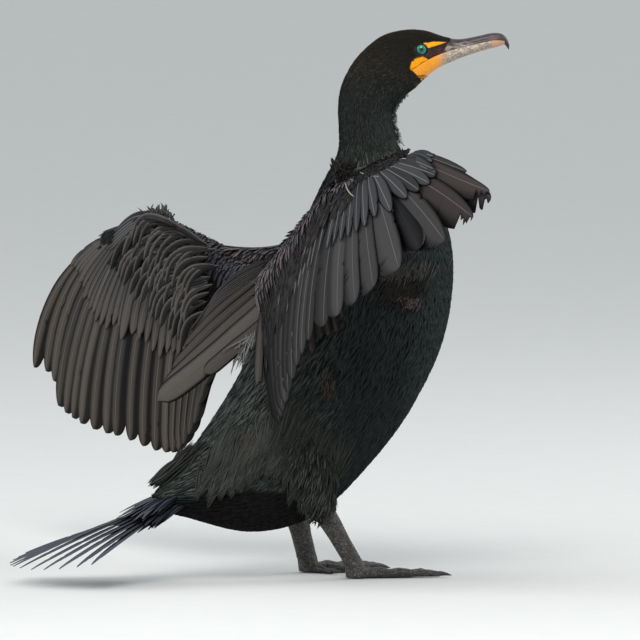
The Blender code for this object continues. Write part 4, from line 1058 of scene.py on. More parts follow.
wing_back = seen(corners("great_coverts_left", "middle_coverts_left", "upper_coverts_left", "flight_feathers_left"))
arcs, rows = [], []
for row in range(3):
    q = (np.arange(15) + 0.5 * (row % 2)) / 15.0 * (1 - 0.12 * row)
    end = np.stack([108 + 80 * q + 10 * row, 268 + 84 * q ** 0.9 - 13 * row], axis=-1) + rng.normal(0, 1.8, (15, 2))
    long = rng.uniform(0.9, 1.1, 15)
    stops = [end + np.stack([dx * long, dy * long], axis=-1) for dx, dy in (
        (64 - 44 * q, -33 - 3 * q), (35 - 27 * q, -37 + 9 * q), (12 - 9 * q, -26 + 9 * q), (0 * q, 0 * q))]
    top = np.interp(stops[0][:, 0], (150, 175, 200, 235, 265), (212, 228, 241, 258, 266))
    stops[0][:, 1] = np.maximum(stops[0][:, 1], top)
    stops[1][:, 1] = np.maximum(stops[1][:, 1], np.interp(stops[1][:, 0], (110, 140, 150, 200, 235), (238, 216, 211, 241, 258)))
    arcs.append(np.stack(stops, axis=1))
    rows.append(np.full((15, 4), row))
arcs, rows = np.concatenate(arcs), np.concatenate(rows)
a, d = arcs[..., 0].ravel(), arcs[..., 1].ravel()
away = dot(on_surface(wing_back, a, d) - in_view(345.0, 574.0, 0.0), -TO_CAMERA)[:, 0]
terms = np.stack([np.ones_like(a), a, d, a * a, a * d, d * d], axis=1)
smooth = terms @ np.linalg.lstsq(terms, away, rcond=None)[0]
knots = in_view(a, d, smooth - 3.0 - 0.5 * rows.ravel() - np.tile((0.0, 0.8, 1.0, 0.6), len(arcs))).reshape(-1, 4, 3)
through("arched_coverts_left", knots, 3.9, TO_CAMERA + (0, 0, 0.3), covert_arch, 14, 5, 0.4,
        tint=rng.random(len(arcs)) * 0.9, thick=0.25)

# %% [markdown]
# ## Quill bases of the near wing
#
# On the near wing the pale quills of the longest feathers show for a few
# millimetres between the small coverts of the hand.

# %% Quill bases
hand_back = seen(corners("great_coverts_right", "middle_coverts_right", "upper_coverts_right", "flight_feathers_right"))
wrist_skin = on_surface(hand_back, np.array([345.0, 341.0]), np.array([178.0, 177.0]))
print("wrist tufts stand at", wrist_skin.round(1).tolist())
tuft("wrist_tuft_right", wrist_skin[0], (0.0, 0.0, 1.0), 110, 22.0, 1.3, 0.28, (5.0, 3.5, 1.5), down_black)
tuft("wrist_down_right", wrist_skin[1], (0.0, 0.1, 1.0), 34, 11.0, 1.0, 0.22, (2.2, 2.2, 1.0), down_grey)
quill_white = feather_paint("quill_base", (0.30, 0.27, 0.24), (0.10, 0.092, 0.088), (0.20, 0.18, 0.16), (0.34, 0.31, 0.28))
first = np.array([(342.7, 182), (348.8, 179), (357.2, 172.9), (368.7, 166.8), (394, 157.6)])
last = np.array([(352.6, 199), (364, 187.4), (378, 179), (391.7, 169), (404, 161)])
stops = [first + (last - first) * f for f in (0.0, 0.5, 1.0)]
knots = np.stack([on_surface(hand_back, a[:, 0], a[:, 1], 2.2) for a in stops], axis=1)
through("quill_bases_right", knots, 0.8, TO_CAMERA, quill_white, 8, 3, 0.5)

# %% [markdown]
# ## Spreading roots evenly
#
# The small feathers cover the whole body. Purely random roots would clump and
# leave bald spots. A better way steps through the surface by two irrational
# numbers, which never line up, and bends the steps by the surface's own area.

# %% Even roots
def spread(form, count, density, cells=(160, 96)):
    """Even roots on a form(u, v) of the unit square: the n-th point is n times
    two irrational shares, and each share is bent by the running sum of area
    times density."""
    u, v = np.linspace(0, 1, cells[0] + 1), np.linspace(0, 1, cells[1] + 1)
    grid = form(*np.meshgrid(u, v, indexing="ij"))
    area = np.linalg.norm(np.cross(np.diff(grid, axis=0)[:, :-1], np.diff(grid, axis=1)[:-1]), axis=-1)
    mid_u, mid_v = np.meshgrid((u[1:] + u[:-1]) / 2, (v[1:] + v[:-1]) / 2, indexing="ij")
    area = area * density(mid_u, mid_v) + 1e-12
    total = np.concatenate([[0], area.sum(axis=1).cumsum()])
    n = np.arange(count) + 0.5
    uu = np.interp((n * 0.7548776662) % 1, total / total[-1], u)
    i = np.clip(np.searchsorted(u, uu) - 1, 0, cells[0] - 1)
    rows = area[i].cumsum(axis=1)
    rows = rows / rows[:, -1:]
    b = ((n * 0.5698402910) % 1)[:, None]
    j = np.minimum((rows < b).sum(axis=1), cells[1] - 1)
    upper = rows[np.arange(count), j]
    lower = np.where(j > 0, rows[np.arange(count), np.maximum(j - 1, 0)], 0)
    return uu, v[j] + (b[:, 0] - lower) / (upper - lower) / cells[1]

# %% [markdown]
# ## Body feathers
#
# On the trunk each small feather starts at its root and follows the body
# station by station, so it hugs every curve. Wet, they part into slender
# strands, so they are drawn thin and in thousands. Lengths shrink from the back
# to the neck and are least on the face. The bare skin of the face gets none.
#
# The coat isn't one black: the flanks and rump are a greenish grey and the breast
# a blue black. The belly behind the legs, below the flank's skirt, is painted
# darkest, as the shade under the hanging flank coat. Each feather's own number
# carries that, with some chance in it.

# %% Body paint and body feathers
def skirt(x):
    """Height of the ragged edge where the flank's coat ends over the belly."""
    return 92.0 - 0.0023 * (x + 120.0) * (x + 120.0)


# The body feathers' under colour is painted shade below the flank's skirt.
plume = feather_paint("body_feather", (0.0110, 0.0140, 0.0162), (0.0240, 0.0325, 0.0362),
                      (0.007, 0.008, 0.009), (0.014, 0.016, 0.016), rim=(0.5, 0.95),
                      pale=(0.068, 0.075, 0.066), shaft_width=0.3, under=(0.0062, 0.0050, 0.0046))
lock_plume = feather_paint("lock_feather", (0.008, 0.0096, 0.0088), (0.021, 0.0245, 0.0222),
                           (0.006, 0.007, 0.006), (0.03, 0.03, 0.028), rim=(0.5, 0.95),
                           pale=(0.092, 0.096, 0.085), shaft_width=0.3)
neck_plume = feather_paint("neck_feather", (0.020, 0.0245, 0.0225), (0.046, 0.056, 0.0505),
                           (0.010, 0.012, 0.011), (0.014, 0.016, 0.016), rim=(0.5, 0.95),
                           pale=(0.140, 0.155, 0.138), shaft_width=0.3)
plume_brown = feather_paint("head_feather", (0.052, 0.046, 0.036), (0.104, 0.092, 0.073),
                            (0.022, 0.020, 0.017), (0.014, 0.012, 0.010), rim=(0.5, 0.95), gloss=0.55,
                            pale=(0.240, 0.212, 0.172), shaft_width=0.3)


def bare(points):
    """1 on the bare skin of the face and 0 on feathers, from the place in the
    head's own plane."""
    c, s = math.cos(HEAD_TURN), math.sin(HEAD_TURN)
    x = (points[..., 0] - NECK_X) * c + points[..., 1] * s
    z = points[..., 2]
    lore = ease((z - (515.0 + (x - 60) * 0.25)) / 1.0) * ease((533.4 - (x - 60) * 0.01 - z) / 1.0) * ease((x - 56.0) / 1.5)
    gape = ease((x - (43.0 + np.abs(z - 509.0) * 0.35)) / 1.5) * ease((z - 500.0) / 1.0) * ease((519.5 - z) / 1.0)
    ring = ease((6.6 - np.hypot(x - EYE_X, z - EYE_Z)) / 0.8)
    beak = ease((x - 64.0) / 1.5) * (z < 533.0) * (z > 500.0)
    return np.clip(np.maximum(np.maximum(lore, gape), np.maximum(ring, beak)), 0, 1) * (x > 40)


def size_at(t, phi):
    """Length of the body feathers: long on back and flanks, short on the neck,
    least on the face."""
    trunk = np.interp(t, (0, 2, 5, 7, 8.5, 10, 12.5, 14, 17.6), (34, 31, 24, 16, 9.5, 8.0, 6.0, 4.2, 2.6))
    return trunk * (1 + 0.18 * np.cos(phi) * np.clip((7.5 - t) / 2, 0, 1))


def lightness(points):
    """0 on the belly behind the legs, below the flank's skirt, where the low value
    paints the shade under the hanging coat; 0.25 on the breast, up to 1 on flank
    and rump."""
    x, z = points[..., 0], points[..., 2]
    # above is painted shade: it falls to 0 below the flank's skirt, under the hanging flank coat.
    above = ease((z - skirt(x) + 2) / 14)
    front = ease((x + 46) / 50)
    back = ease((-0.18 * z - x - 20) / 60)
    neck = 0.45 * ease((z - 400) / 30)
    return above * (0.22 + 0.30 * back * (1 - front) + 0.45 * (1 - front) * ease((330 - z) / 80)) * (1 - 0.45 * front) + neck


def body_coat(name, first, last, count, stations, width, rise, paint, lie=None, keep=None, long=1.0, away=0.0):
    """Feathers whose roots lie between two stations of the body. They run
    backwards, or along lie: then the steps in station and angle are those that
    move along lie on the surface, from the surface's own two slopes."""
    def form(u, v):
        return body(first + (last - first) * u, 2 * np.pi * v)

    def density(u, v):
        return 1 / size_at(first + (last - first) * u, 2 * np.pi * v) ** 1.6

    u, v = spread(form, count, density)
    t, phi = first + (last - first) * u, 2 * np.pi * v
    root = body(t, phi)
    good = bare(root) < 0.5
    if keep is not None:
        good &= keep(root)
    t, phi, root = t[good], phi[good], root[good]
    n = len(t)
    slope_t = (body(t + 0.03, phi) - body(t - 0.03, phi)) / 0.06
    slope_phi = (body(t, phi + 0.03) - body(t, phi - 0.03)) / 0.06
    way = -slope_t / np.linalg.norm(slope_t, axis=-1, keepdims=True) if lie is None else np.broadcast_to(unit(lie), root.shape)
    tt, pp, tp = [dot(a, b)[:, 0] for a, b in ((slope_t, slope_t), (slope_phi, slope_phi), (slope_t, slope_phi))]
    wt, wp = dot(way, slope_t)[:, 0], dot(way, slope_phi)[:, 0]
    step_t, step_phi = (wt * pp - wp * tp) / (tt * pp - tp ** 2), (wp * tt - wt * tp) / (tt * pp - tp ** 2)
    size = size_at(t, phi) * rng.uniform(0.75, 1.25, n) * long
    s = np.linspace(0, 1, stations)[None, :]
    drift = rng.normal(0, 0.12, n) * size / np.sqrt(pp)
    path_t = np.maximum(t[:, None] + s * (size * step_t)[:, None], -0.35)
    path_phi = phi[:, None] + s * (size * step_phi)[:, None] + drift[:, None] * s ** 1.5
    sink = np.interp(t, (0, 8, 12, 14), (1.9, 1.8, 1.2, 0.6))[:, None]
    lifted = away + (rise(t, phi) * rng.uniform(0.4, 1.4, n))[:, None] * s ** 1.4 - sink * (1 - s) ** 1.5
    centre = body(path_t, path_phi, lifted)
    across = unit(body(path_t, path_phi + 0.02, lifted) - body(path_t, path_phi - 0.02, lifted))
    along = unit(np.gradient(centre, axis=1))
    across = unit(across - along * dot(across, along))
    lift = np.cross(along, across)
    out = centre[:, 0] - body(t, phi, -3.0)
    lift = lift * np.sign(dot(lift[:, 0], out))[:, None]
    wide = width(root) if callable(width) else width
    half = (wide * size)[:, None] * outline(s, 0.55)
    light = lightness(root) if paint is plume else 0.35
    calm = 0.6 * ease((root[:, 0] + 40) / 50) * ease((400 - root[:, 2]) / 30)
    vary = calm + (1 - calm) * rng.uniform(0.1, 1.0, n) ** 1.5 * 1.7
    tint = np.clip(light * vary + rng.uniform(0, 0.06, n), 0.01, 0.98)
    root_uv = np.stack([phi / (2 * np.pi) * 0.99, (t + 0.4) / 18.5], axis=-1)
    return blades(name, centre, across, lift, half, half, paint, 3, 0.3, 0.12, root_uv=root_uv, tint=tint)


def slender(points):
    """Half width over length: strands on the back, broader scales where the
    breast turns to the front."""
    return 0.055 + 0.09 * ease((points[..., 0] - 40) / 40)


def trunk_rise(t, phi):
    """How far the tips stand off the body, in mm."""
    return np.interp(t, (0, 2, 7.5), (3.0, 1.4, 0.7)) * (0.5 + 0.5 * np.cos(phi / 2) ** 2)


def neck_rise(t, phi):
    """The neck's coat is sleek, but the throat's is ragged."""
    return np.interp(t, (7.5, 9, 12, 17), (0.9, 0.8, 0.5, 0.25)) * (1 + 5.0 * (np.abs(phi - np.pi) < 0.45) * (t > 8.6) * (t < 12.4))


body_coat("rump_feathers", 0.0, 2.3, 5200, 4, slender, trunk_rise, plume)
body_coat("back_feathers", 2.2, 4.2, 5400, 4, slender, trunk_rise, plume)
body_coat("breast_feathers", 4.1, 6.0, 5400, 4, slender, trunk_rise, plume)
body_coat("mantle_feathers", 5.9, 7.9, 4800, 4, slender, trunk_rise, plume)
body_coat("neck_feathers", 7.8, 13.3, 8300, 3, 0.085, neck_rise, neck_plume,
          keep=lambda root: rng.random(len(root)) > ease((root[:, 2] - 474) / 48))
body_coat("head_feathers", 11.2, 17.5, 9800, 3, 0.10, neck_rise, plume_brown,
          keep=lambda root: rng.random(len(root)) < ease((root[:, 2] - 474) / 48))

# %% [markdown]
# ## Locks on flank and rump
#
# Where the flank's coat ends over the belly it hangs in pointed locks, and more
# of them cover the root of the tail. A lock is a few dozen strands whose roots
# lie apart and whose tips meet. The spots are named as the camera sees them,
# and a search finds the body's surface there; the left side mirrors the right.

# %% Locks
grid_t, grid_phi = np.meshgrid(np.linspace(0, 8, 500), np.linspace(0, 2 * np.pi, 500), indexing="ij")
trunk_surface = seen(body(grid_t, grid_phi).reshape(-1, 3))


def locks(name, roots, tips, strands, spread_at_root, out, width, material, light, mirror=True):
    """Strands from a cloud of roots round each root spot to one tip spot each:
    knots at 0, a third, two thirds and 1 of the way, raised by out at the tip."""
    roots, tips = np.array(roots, float), np.array(tips, float)
    n = len(roots)
    start = np.repeat(roots, strands, axis=0) + rng.normal(0, 1, (n * strands, 2)) * spread_at_root
    end = np.repeat(tips, strands, axis=0) + rng.normal(0, 1, (n * strands, 2)) * (1.3, 2.6)
    knots = []
    for f in (0.0, 0.35, 0.7, 1.0):
        spot = start + (end - start) * f
        knots.append(on_surface(trunk_surface, spot[:, 0], spot[:, 1], out * f ** 1.3 - 1.0 * (f == 0)))
    knots = np.stack(knots, axis=1)
    face = np.tile(TO_CAMERA + (0, 0, 0.2), (len(knots), 1))
    tint = np.clip(light * rng.uniform(0.15, 1.4, len(knots)), 0.01, 0.95)
    if mirror:
        knots = np.concatenate([knots, knots * (1, -1, 1)])
        face = np.concatenate([face, face * (1, -1, 1)])
        tint = np.tile(tint, 2)
    return through(name, knots, width, face, material, 9, 3, 0.7, tint=tint)


flank_tips = [(196, 498), (209, 503), (221, 497), (232, 495), (241, 490), (250, 483), (258, 477), (268, 476), (277, 482),
              (285, 487), (291, 503), (297, 497), (303, 508), (311, 510), (322, 510)]
flank_roots = [(x + 24 - 0.10 * (x - 196), y - 46 + 0.06 * (x - 196)) for x, y in flank_tips]
locks("flank_locks", flank_roots, flank_tips, 62, (7.5, 9.0), 7.0, 1.15, lock_plume, 0.55)
high_roots = [(x + 14, y - 34) for x, y in flank_roots]
high_tips = [(x + 9, y - 22) for x, y in flank_tips]
locks("side_locks", high_roots, high_tips, 46, (8.0, 9.0), 4.5, 1.1, lock_plume, 0.45)


def spot(name, middle, size, way, count, length, out, width, material, light):
    """Strands whose roots lie round one spot of the view and that run one way,
    with the same on the other side of the body."""
    root = np.array(middle, float) + rng.normal(0, 0.5, (count, 2)) * size
    lie = unit(np.array([*way, 0.0]))[:2] * (length * rng.uniform(0.6, 1.2, count))[:, None] + rng.normal(0, 0.12 * length, (count, 2))
    knots = [on_surface(trunk_surface, *(root + lie * f).T, out * (0.4 + 0.6 * f)) for f in (0.0, 0.5, 1.0)]
    knots = np.stack(knots, axis=1)
    knots = np.concatenate([knots, knots * (1, -1, 1)])
    face = np.repeat([TO_CAMERA, TO_CAMERA * (1, -1, 1)], count, axis=0)
    tint = np.tile(np.clip(light * rng.uniform(0.2, 1.4, count), 0.01, 0.95), 2)
    return through(name, knots, width, face, material, 7, 3, 0.7, tint=tint)


spot_brown = feather_paint("brown_feather", (0.016, 0.014, 0.013), (0.042, 0.033, 0.028), (0.014, 0.012, 0.011),
                           (0.04, 0.032, 0.028), pale=(0.22, 0.17, 0.145), shaft_width=0.3)
# The armpit's near-black down is painted shade: it darkens the hollow where the wing meets the breast. The fringe round
# it is real feathers, painted paler in part as highlight for the glints of light on its edge.
spot("armpit_down", (402, 284), (22.0, 17.0), (-0.5, 1.0), 260, 13.0, 2.6, 1.0, down_black, 0.2)
spot("armpit_fringe", (408, 264), (38.0, 7.0), (-0.35, 1.0), 150, 15.0, 4.6, 0.7, lock_plume, 0.7)
spot("armpit_brown", (414, 299), (9.0, 6.0), (-0.4, 1.0), 46, 7.0, 3.4, 0.8, spot_brown, 0.45)
spot("flank_brown", (330, 380), (7.0, 13.0), (-0.3, 1.0), 40, 9.0, 2.2, 0.8, spot_brown, 0.3)
spot("rump_brown", (255, 436), (9.0, 9.0), (-0.8, 1.0), 36, 13.0, 2.6, 0.9, spot_brown, 0.2)
tips = np.array([(150, 484), (154, 486), (160, 489), (166, 491), (160, 481), (172, 492)], float)
tips = tips[rng.integers(0, 6, 170)] + rng.normal(0, 1.4, (170, 2))
middle = rng.normal(0, 5.0, 170)
stops = [tips + (42, -35) + rng.normal(0, 4, (170, 2)), tips + (21, -16.5) + rng.normal(0, 1.5, (170, 2)), tips]
knots = np.stack([in_view(a[:, 0], a[:, 1], (a[:, 0] - 345) * 0.4663 + middle * f) for a, f in zip(stops, (1.6, 1.2, 0.4))], axis=1)
through("tail_root_feathers", knots, 1.3, TO_CAMERA + (0, 0, 0.5), lock_plume, 9, 3, 0.6,
        tint=rng.random(170) * 0.5)

# %% [markdown]
# ## Feathers of thighs and shoulders
#
# The thighs and the skin in front of the elbow are short limbs of their own, so
# their feathers start on the limb's rings and lean along one direction each.

# %% Limb feathers
def limb_coat(name, rings, way, count, length, width, rise, paint, stations=5, density=None):
    """Feathers on the rings of a limb, which lie along way on the surface and
    curl back towards it: path = root + way * s + normal * (rise * s - curl * s^2)."""
    rows, sides = rings.shape[:2]
    closed = np.concatenate([rings, rings[:, :1]], axis=1)

    def form(u, v):
        a, b = u * (rows - 1), v * sides
        i, j = np.minimum(a.astype(int), rows - 2), np.minimum(b.astype(int), sides - 1)
        f, g = (a - i)[..., None], (b - j)[..., None]
        return ((closed[i, j] * (1 - f) + closed[i + 1, j] * f) * (1 - g)
                + (closed[i, j + 1] * (1 - f) + closed[i + 1, j + 1] * f) * g)

    u, v = spread(form, count, density or (lambda a, b: 1.0 + 0 * a))
    u, v = np.clip(u, 0.001, 0.999), np.clip(v, 0.001, 0.999)
    root = form(u, v)
    middle = (form(u, v) + form(u, (v + 0.5) % 1)) / 2
    du = form(np.clip(u + 0.01, 0, 1), v) - form(np.clip(u - 0.01, 0, 1), v)
    dv = form(u, np.clip(v + 0.01, 0, 1)) - form(u, np.clip(v - 0.01, 0, 1))
    normal = unit(np.cross(du, dv))
    normal = normal * np.sign(dot(normal, root - middle))
    lie = np.broadcast_to(way, root.shape) + rng.normal(0, 0.08, root.shape)
    lie = unit(lie - normal * dot(lie, normal))
    size = length * rng.uniform(0.75, 1.15, count)
    s = np.linspace(0, 1, stations)[None, :, None]
    bend = 0.012 * size[:, None, None] ** 2 / 20
    centre = root[:, None] + lie[:, None] * s * size[:, None, None]
    centre = centre + normal[:, None] * (rise * rng.uniform(0.6, 1.3, (count, 1, 1)) * s - bend * s * s * 8 - 1.5 * (1 - s) ** 2)
    across = np.broadcast_to(np.cross(normal, lie)[:, None], centre.shape)
    lift = np.broadcast_to(normal[:, None], centre.shape)
    half = width * size[:, None] * outline(s[..., 0], 0.5)
    root_uv = np.stack([v * 0.99, u * 0.99], axis=-1)
    tint = rng.uniform(0.1, 0.5, count) if paint is plume else None
    return blades(name, centre, across, lift, half, half, paint, 3, 0.3, 0.14, root_uv=root_uv, tint=tint)


for at, (label, wing) in enumerate(WINGS.items()):
    fore, hand, upper, fold = limbs[4 * at:4 * at + 4]
    span = unit(wing["elbow"] - wing["shoulder"])
    inward = unit(wing["elbow"] - (wing["shoulder"] + wing["wrist"]) / 2) + span * 0.4
    limb_coat(f"fold_coverts_{label}", fold, inward, 1300, 14.0, 0.24, 1.8, covert_scale)
    limb_coat(f"arm_coverts_{label}", upper, inward, 1100, 20.0, 0.12, 2.4, covert_scale)
    down = unit(fan_at(wing, np.array([17.0]))[0][0])
    limb_coat(f"elbow_coverts_{label}", fore, down, 1200, 12.0, 0.24, 1.6, covert_scale)
    out = unit(fan_at(wing, np.array([4.0]))[0][0])
    limb_coat(f"wrist_coverts_{label}", hand, out, 800, 10.0, 0.15, 0.8, covert_black)
for at, label in enumerate(LEGS):
    thigh = limbs[8 + at]
    limb_coat(f"thigh_feathers_{label}", thigh, np.array((-0.35, 0.0, -0.94)), 1900, 22.0, 0.055, 2.6, lock_plume)

# %% [markdown]
# ## Skin paint
#
# Where feathers cover it the skin is only a dark ground. On the face it is bare
# and shows its colours: a dark red-brown lore between eye and bill, an orange
# stripe above it, and an orange patch behind the corner of the mouth. The masks
# are worked out from each point's place in the head's plane and stored on the
# points, so the Boolean above cannot disturb them.

# %% Face colours
def head_plane(points):
    """Forward and upward place in the turned head's own plane."""
    c, s = math.cos(HEAD_TURN), math.sin(HEAD_TURN)
    return (points[..., 0] - NECK_X) * c + points[..., 1] * s, points[..., 2]


def inside(points, corners, soft=0.6):
    """1 inside a convex outline of the head's plane, 0 outside: the least of the
    distances to its sides, eased over soft mm."""
    x, z = head_plane(points)
    corners = np.array(corners, float)
    after = np.roll(corners, -1, axis=0)
    turn = np.sum(corners[:, 0] * after[:, 1] - corners[:, 1] * after[:, 0])
    least = np.full(x.shape, 1e9)
    for (ax, az), (bx, bz) in zip(corners, after):
        away = ((bx - ax) * (z - az) - (bz - az) * (x - ax)) / math.hypot(bx - ax, bz - az)
        least = np.minimum(least, away * np.sign(turn))
    return ease(least / soft + 0.5)


def photo_plane(*pairs):
    """Turns places measured in the picture, right and down, into the head's
    plane."""
    return [(px - 367.0, (573.3 - py) / 0.9976) for px, py in pairs]


STRIPE = photo_plane((422.8, 42.8), (426, 41.5), (433, 40.9), (441, 41.0), (448.5, 41.4), (440, 43.8), (433, 46.2), (428, 47.2), (424.5, 45.6))
PATCH = photo_plane((409.6, 68.2), (411.2, 62.0), (416.5, 57.0), (421.5, 55.4), (427.5, 58.5), (427.5, 60.5), (420, 65.5), (412, 70.0))
LORE = photo_plane((425, 48.2), (436, 47.6), (450, 44.2), (456, 46.5), (448, 51.0), (428, 58.0), (421, 54.0))
co = np.zeros(len(skin.data.vertices) * 3)
skin.data.vertices.foreach_get("co", co)
co = co.reshape(-1, 3) / MM - SHIFT
face = np.stack([inside(co, STRIPE), inside(co, PATCH), inside(co, LORE)], axis=-1)
mark = skin.data.attributes.new("face", "FLOAT_VECTOR", "POINT")
mark.data.foreach_set("vector", face.astype(np.float32).ravel())
skin.data.polygons.foreach_set("use_smooth", np.full(len(skin.data.polygons), True))

paint = Paint("skin", Specular_IOR_Level=0.15, Subsurface_Weight=0.0)
stripe, patch, lore = paint.mark("face")
fine = paint.noise(900.0, 5.0)
broad = paint.noise(140.0, 3.0)
colour = paint.mix(broad, (0.006, 0.007, 0.007), (0.014, 0.014, 0.013))
colour = paint.mix(lore, colour, paint.mix(fine.step(0.4, 0.65), (0.018, 0.008, 0.007), (0.080, 0.034, 0.028)))
orange = paint.mix(fine.step(0.35, 0.7), (0.80, 0.25, 0.001), (0.95, 0.40, 0.002))
colour = paint.mix(stripe, colour, orange)
colour = paint.mix(patch, colour, orange)
skin_paint = paint.finish(colour, 0.5, fine, depth=0.4)
skin.data.materials.clear()
skin.data.materials.append(skin_paint)

# %% [markdown]
# ## Bill
#
# The upper bill is a long wedge with a rounded ridge, a groove along each side
# and a hooked nail at the tip; an adult has no open nostrils. The lower bill
# carries the bare orange pouch of the throat. Both are cut from a finer loft of
# the body's own function by a sheet that follows the line of the mouth.

# %% Bill
MOUTH = np.array([(44.6, 505.2), (59.9, 515.0), (77.8, 522.8), (90.6, 526.6),
                  (109.7, 531.0), (126.3, 534.4), (137.4, 533.9)])
mouth = cubic(MOUTH, np.linspace(0, 6, 49))


def head_prism(corners, reach=60.0):
    """Closed prism across the head over an outline of its plane."""
    corners = np.array(corners, float)
    n = len(corners)
    points = np.concatenate([head_point(corners[:, 0], -reach, corners[:, 1]), head_point(corners[:, 0], reach, corners[:, 1])])
    mesh = bpy.data.meshes.new("prism")
    faces = [tuple(range(n)), tuple(range(2 * n - 1, n - 1, -1))]
    faces += [(i, i + n, (i + 1) % n + n, (i + 1) % n) for i in range(n)]
    mesh.from_pydata(((points + SHIFT) * MM).tolist(), [], faces)
    obj = bpy.data.objects.new("prism", mesh)
    bpy.context.scene.collection.objects.link(obj)
    bm = bmesh.new()
    bm.from_mesh(mesh)
    bmesh.ops.triangulate(bm, faces=bm.faces)
    bmesh.ops.recalc_face_normals(bm, faces=bm.faces)
    if bm.calc_volume(signed=True) < 0:
        bmesh.ops.reverse_faces(bm, faces=bm.faces)
    bm.to_mesh(mesh)
    bm.free()
    return obj


def bill_rings(slim, groove):
    """The body's function from the cheek to the tip, with a groove along each
    side of the bill: the surface sinks by groove where the angle is near 58
    degrees from the ridge."""
    t = np.concatenate([np.linspace(12.4, 20, 110), np.linspace(20, 24, 60)[1:]])[:, None]
    phi = np.linspace(0, 2 * np.pi, 96, endpoint=False)[None, :]
    off = np.degrees(np.abs(np.angle(np.exp(1j * phi))))
    dip = groove * np.exp(-((off - 58) / 9) ** 2) * ease((t - 16.5) / 1.0) * ease((22.2 - t) / 1.5)
    return body(t, phi, -dip, slim)


RISE = np.array((0.0, 0.12))
lower_line = [tuple(p) for p in mouth - RISE] + [(137.9, 528.0), (137.9, 505.0), (62.0, 485.0)]
upper_line = [(87.0, 560.0), (86.0, 539.0), (80.0, 531.0), (76.5, 522.6)]
upper_line += [tuple(p) for p in mouth + RISE if p[0] > 77.5] + [(138.2, 505.0), (160.0, 505.0), (160.0, 560.0)]
bill_upper = combine(loose_tube(bill_rings(1.0, 0.5), "upper_bill"), [head_prism(upper_line)], "INTERSECT")
bill_lower = combine(loose_tube(bill_rings(0.95, 0.0), "lower_bill"), [head_prism(lower_line)], "INTERSECT")
cut_low = [tuple(p) for p in mouth + RISE * 0.5] + [(138.0, 528.0), (138.0, 505.0), (63.0, 486.5)]
cut_up = [(88.2, 560.0), (87.2, 539.0), (81.2, 531.0), (78.0, 520.0), (160.0, 480.0), (160.0, 560.0)]
combine(skin, [head_prism(cut_low)], "DIFFERENCE")
combine(skin, [head_prism(cut_up)], "DIFFERENCE")

paint = Paint("upper_bill", Specular_IOR_Level=0.4, Coat_Weight=0.12, Coat_Roughness=0.3)
to_head = {"Location": tuple((head_point(0, 0, 0) + SHIFT) * MM), "Rotation": (0.0, 0.0, HEAD_TURN)}
local = paint.add("Mapping", {"vector_type": "TEXTURE"}, {"Vector": paint.place(), **to_head})
x = paint.add("SeparateXYZ", None, {0: local}, 0) * 1000.0
z = paint.add("SeparateXYZ", None, {0: local}, 2) * 1000.0
stretched = paint.add("Mapping", None, {"Vector": local, "Scale": (0.35, 1.0, 1.0)})
mottle = paint.noise(420.0, 5.0, at=stretched)
streak = paint.noise(1400.0, 4.0, at=stretched)
colour = paint.mix(mottle.step(0.40, 0.62), (0.012, 0.009, 0.011), (0.044, 0.033, 0.036))
low_edge = (z - (x * 0.19 + 510.0)).step(6.5, 1.0)
colour = paint.mix(low_edge * (1 - x.step(92.0, 112.0)) * mottle.step(0.35, 0.6) * 0.8, colour, (0.36, 0.27, 0.24))
pink_tip = x.step(119.0, 127.0) * (1 - x.step(135.0, 138.5)) * (1 - z.step(538.5, 541.5))
colour = paint.mix(pink_tip * 0.12, colour, (0.22, 0.12, 0.10))
colour = paint.mix(x.step(136.5, 140.0), colour, (0.022, 0.016, 0.018))
upper_paint = paint.finish(colour, 0.36 + mottle * 0.15, mottle * 0.6 + streak * 0.4, depth=0.25)

paint = Paint("lower_bill", Specular_IOR_Level=0.5, Coat_Weight=0.2, Coat_Roughness=0.3)
local = paint.add("Mapping", {"vector_type": "TEXTURE"}, {"Vector": paint.place(), **to_head})
x = paint.add("SeparateXYZ", None, {0: local}, 0) * 1000.0
z = paint.add("SeparateXYZ", None, {0: local}, 2) * 1000.0
mottle = paint.noise(430.0, 4.0, at=local)
speck = paint.noise(900.0, 3.0, at=local)
horn = paint.mix(mottle.step(0.42, 0.60), (0.27, 0.21, 0.185), (0.56, 0.48, 0.38))
horn = paint.mix(speck.step(0.56, 0.66) * (1 - x.step(112.0, 120.0)), horn, (0.58, 0.47, 0.30))
horn = paint.mix(x.step(121.0, 127.0), horn, (0.70, 0.36, 0.22))
orange = paint.mix(speck.step(0.3, 0.7), (0.80, 0.25, 0.001), (0.95, 0.40, 0.002))
fade = (x + mottle * 10.0 - 5.0).step(68.0, 82.0)
colour = paint.mix(fade, orange, horn)
under = (x * 0.36 + 487.0 - z).step(-3.5, 1.0)
colour = paint.mix(under * x.step(70.0, 84.0) * 0.35, colour, (0.14, 0.10, 0.10))
lower_paint = paint.finish(colour, 0.42 + speck * 0.15, mottle * 0.5 + speck * 0.5, depth=0.3)
for obj, material, slot, node in ((bill_upper, upper_paint, "bill_upper", "bill_upper"), (bill_lower, lower_paint, "bill_lower", "bill_lower")):
    obj.data.materials.clear()
    obj.data.materials.append(material)
    obj.data.polygons.foreach_set("use_smooth", np.full(len(obj.data.polygons), True))
    own(obj, [node])
own(skin, ["rump", "torso", "neck_lower", "neck_upper", "head", "thigh_left", "thigh_right"])

# %% [markdown]
# ## Eyes
#
# A cormorant's eye is a green jewel. The ball is a closed sphere; the colours
# are rings round its own axis, so the paint measures the distance from that
# axis. A lid, a ring of small beads on a dark fold, holds it in the head.

# %% Eyes and lids
SIDE_AXIS = head_point(0, 1, 0) - head_point(0, 0, 0)
FORE_AXIS = head_point(1, 0, 0) - head_point(0, 0, 0)


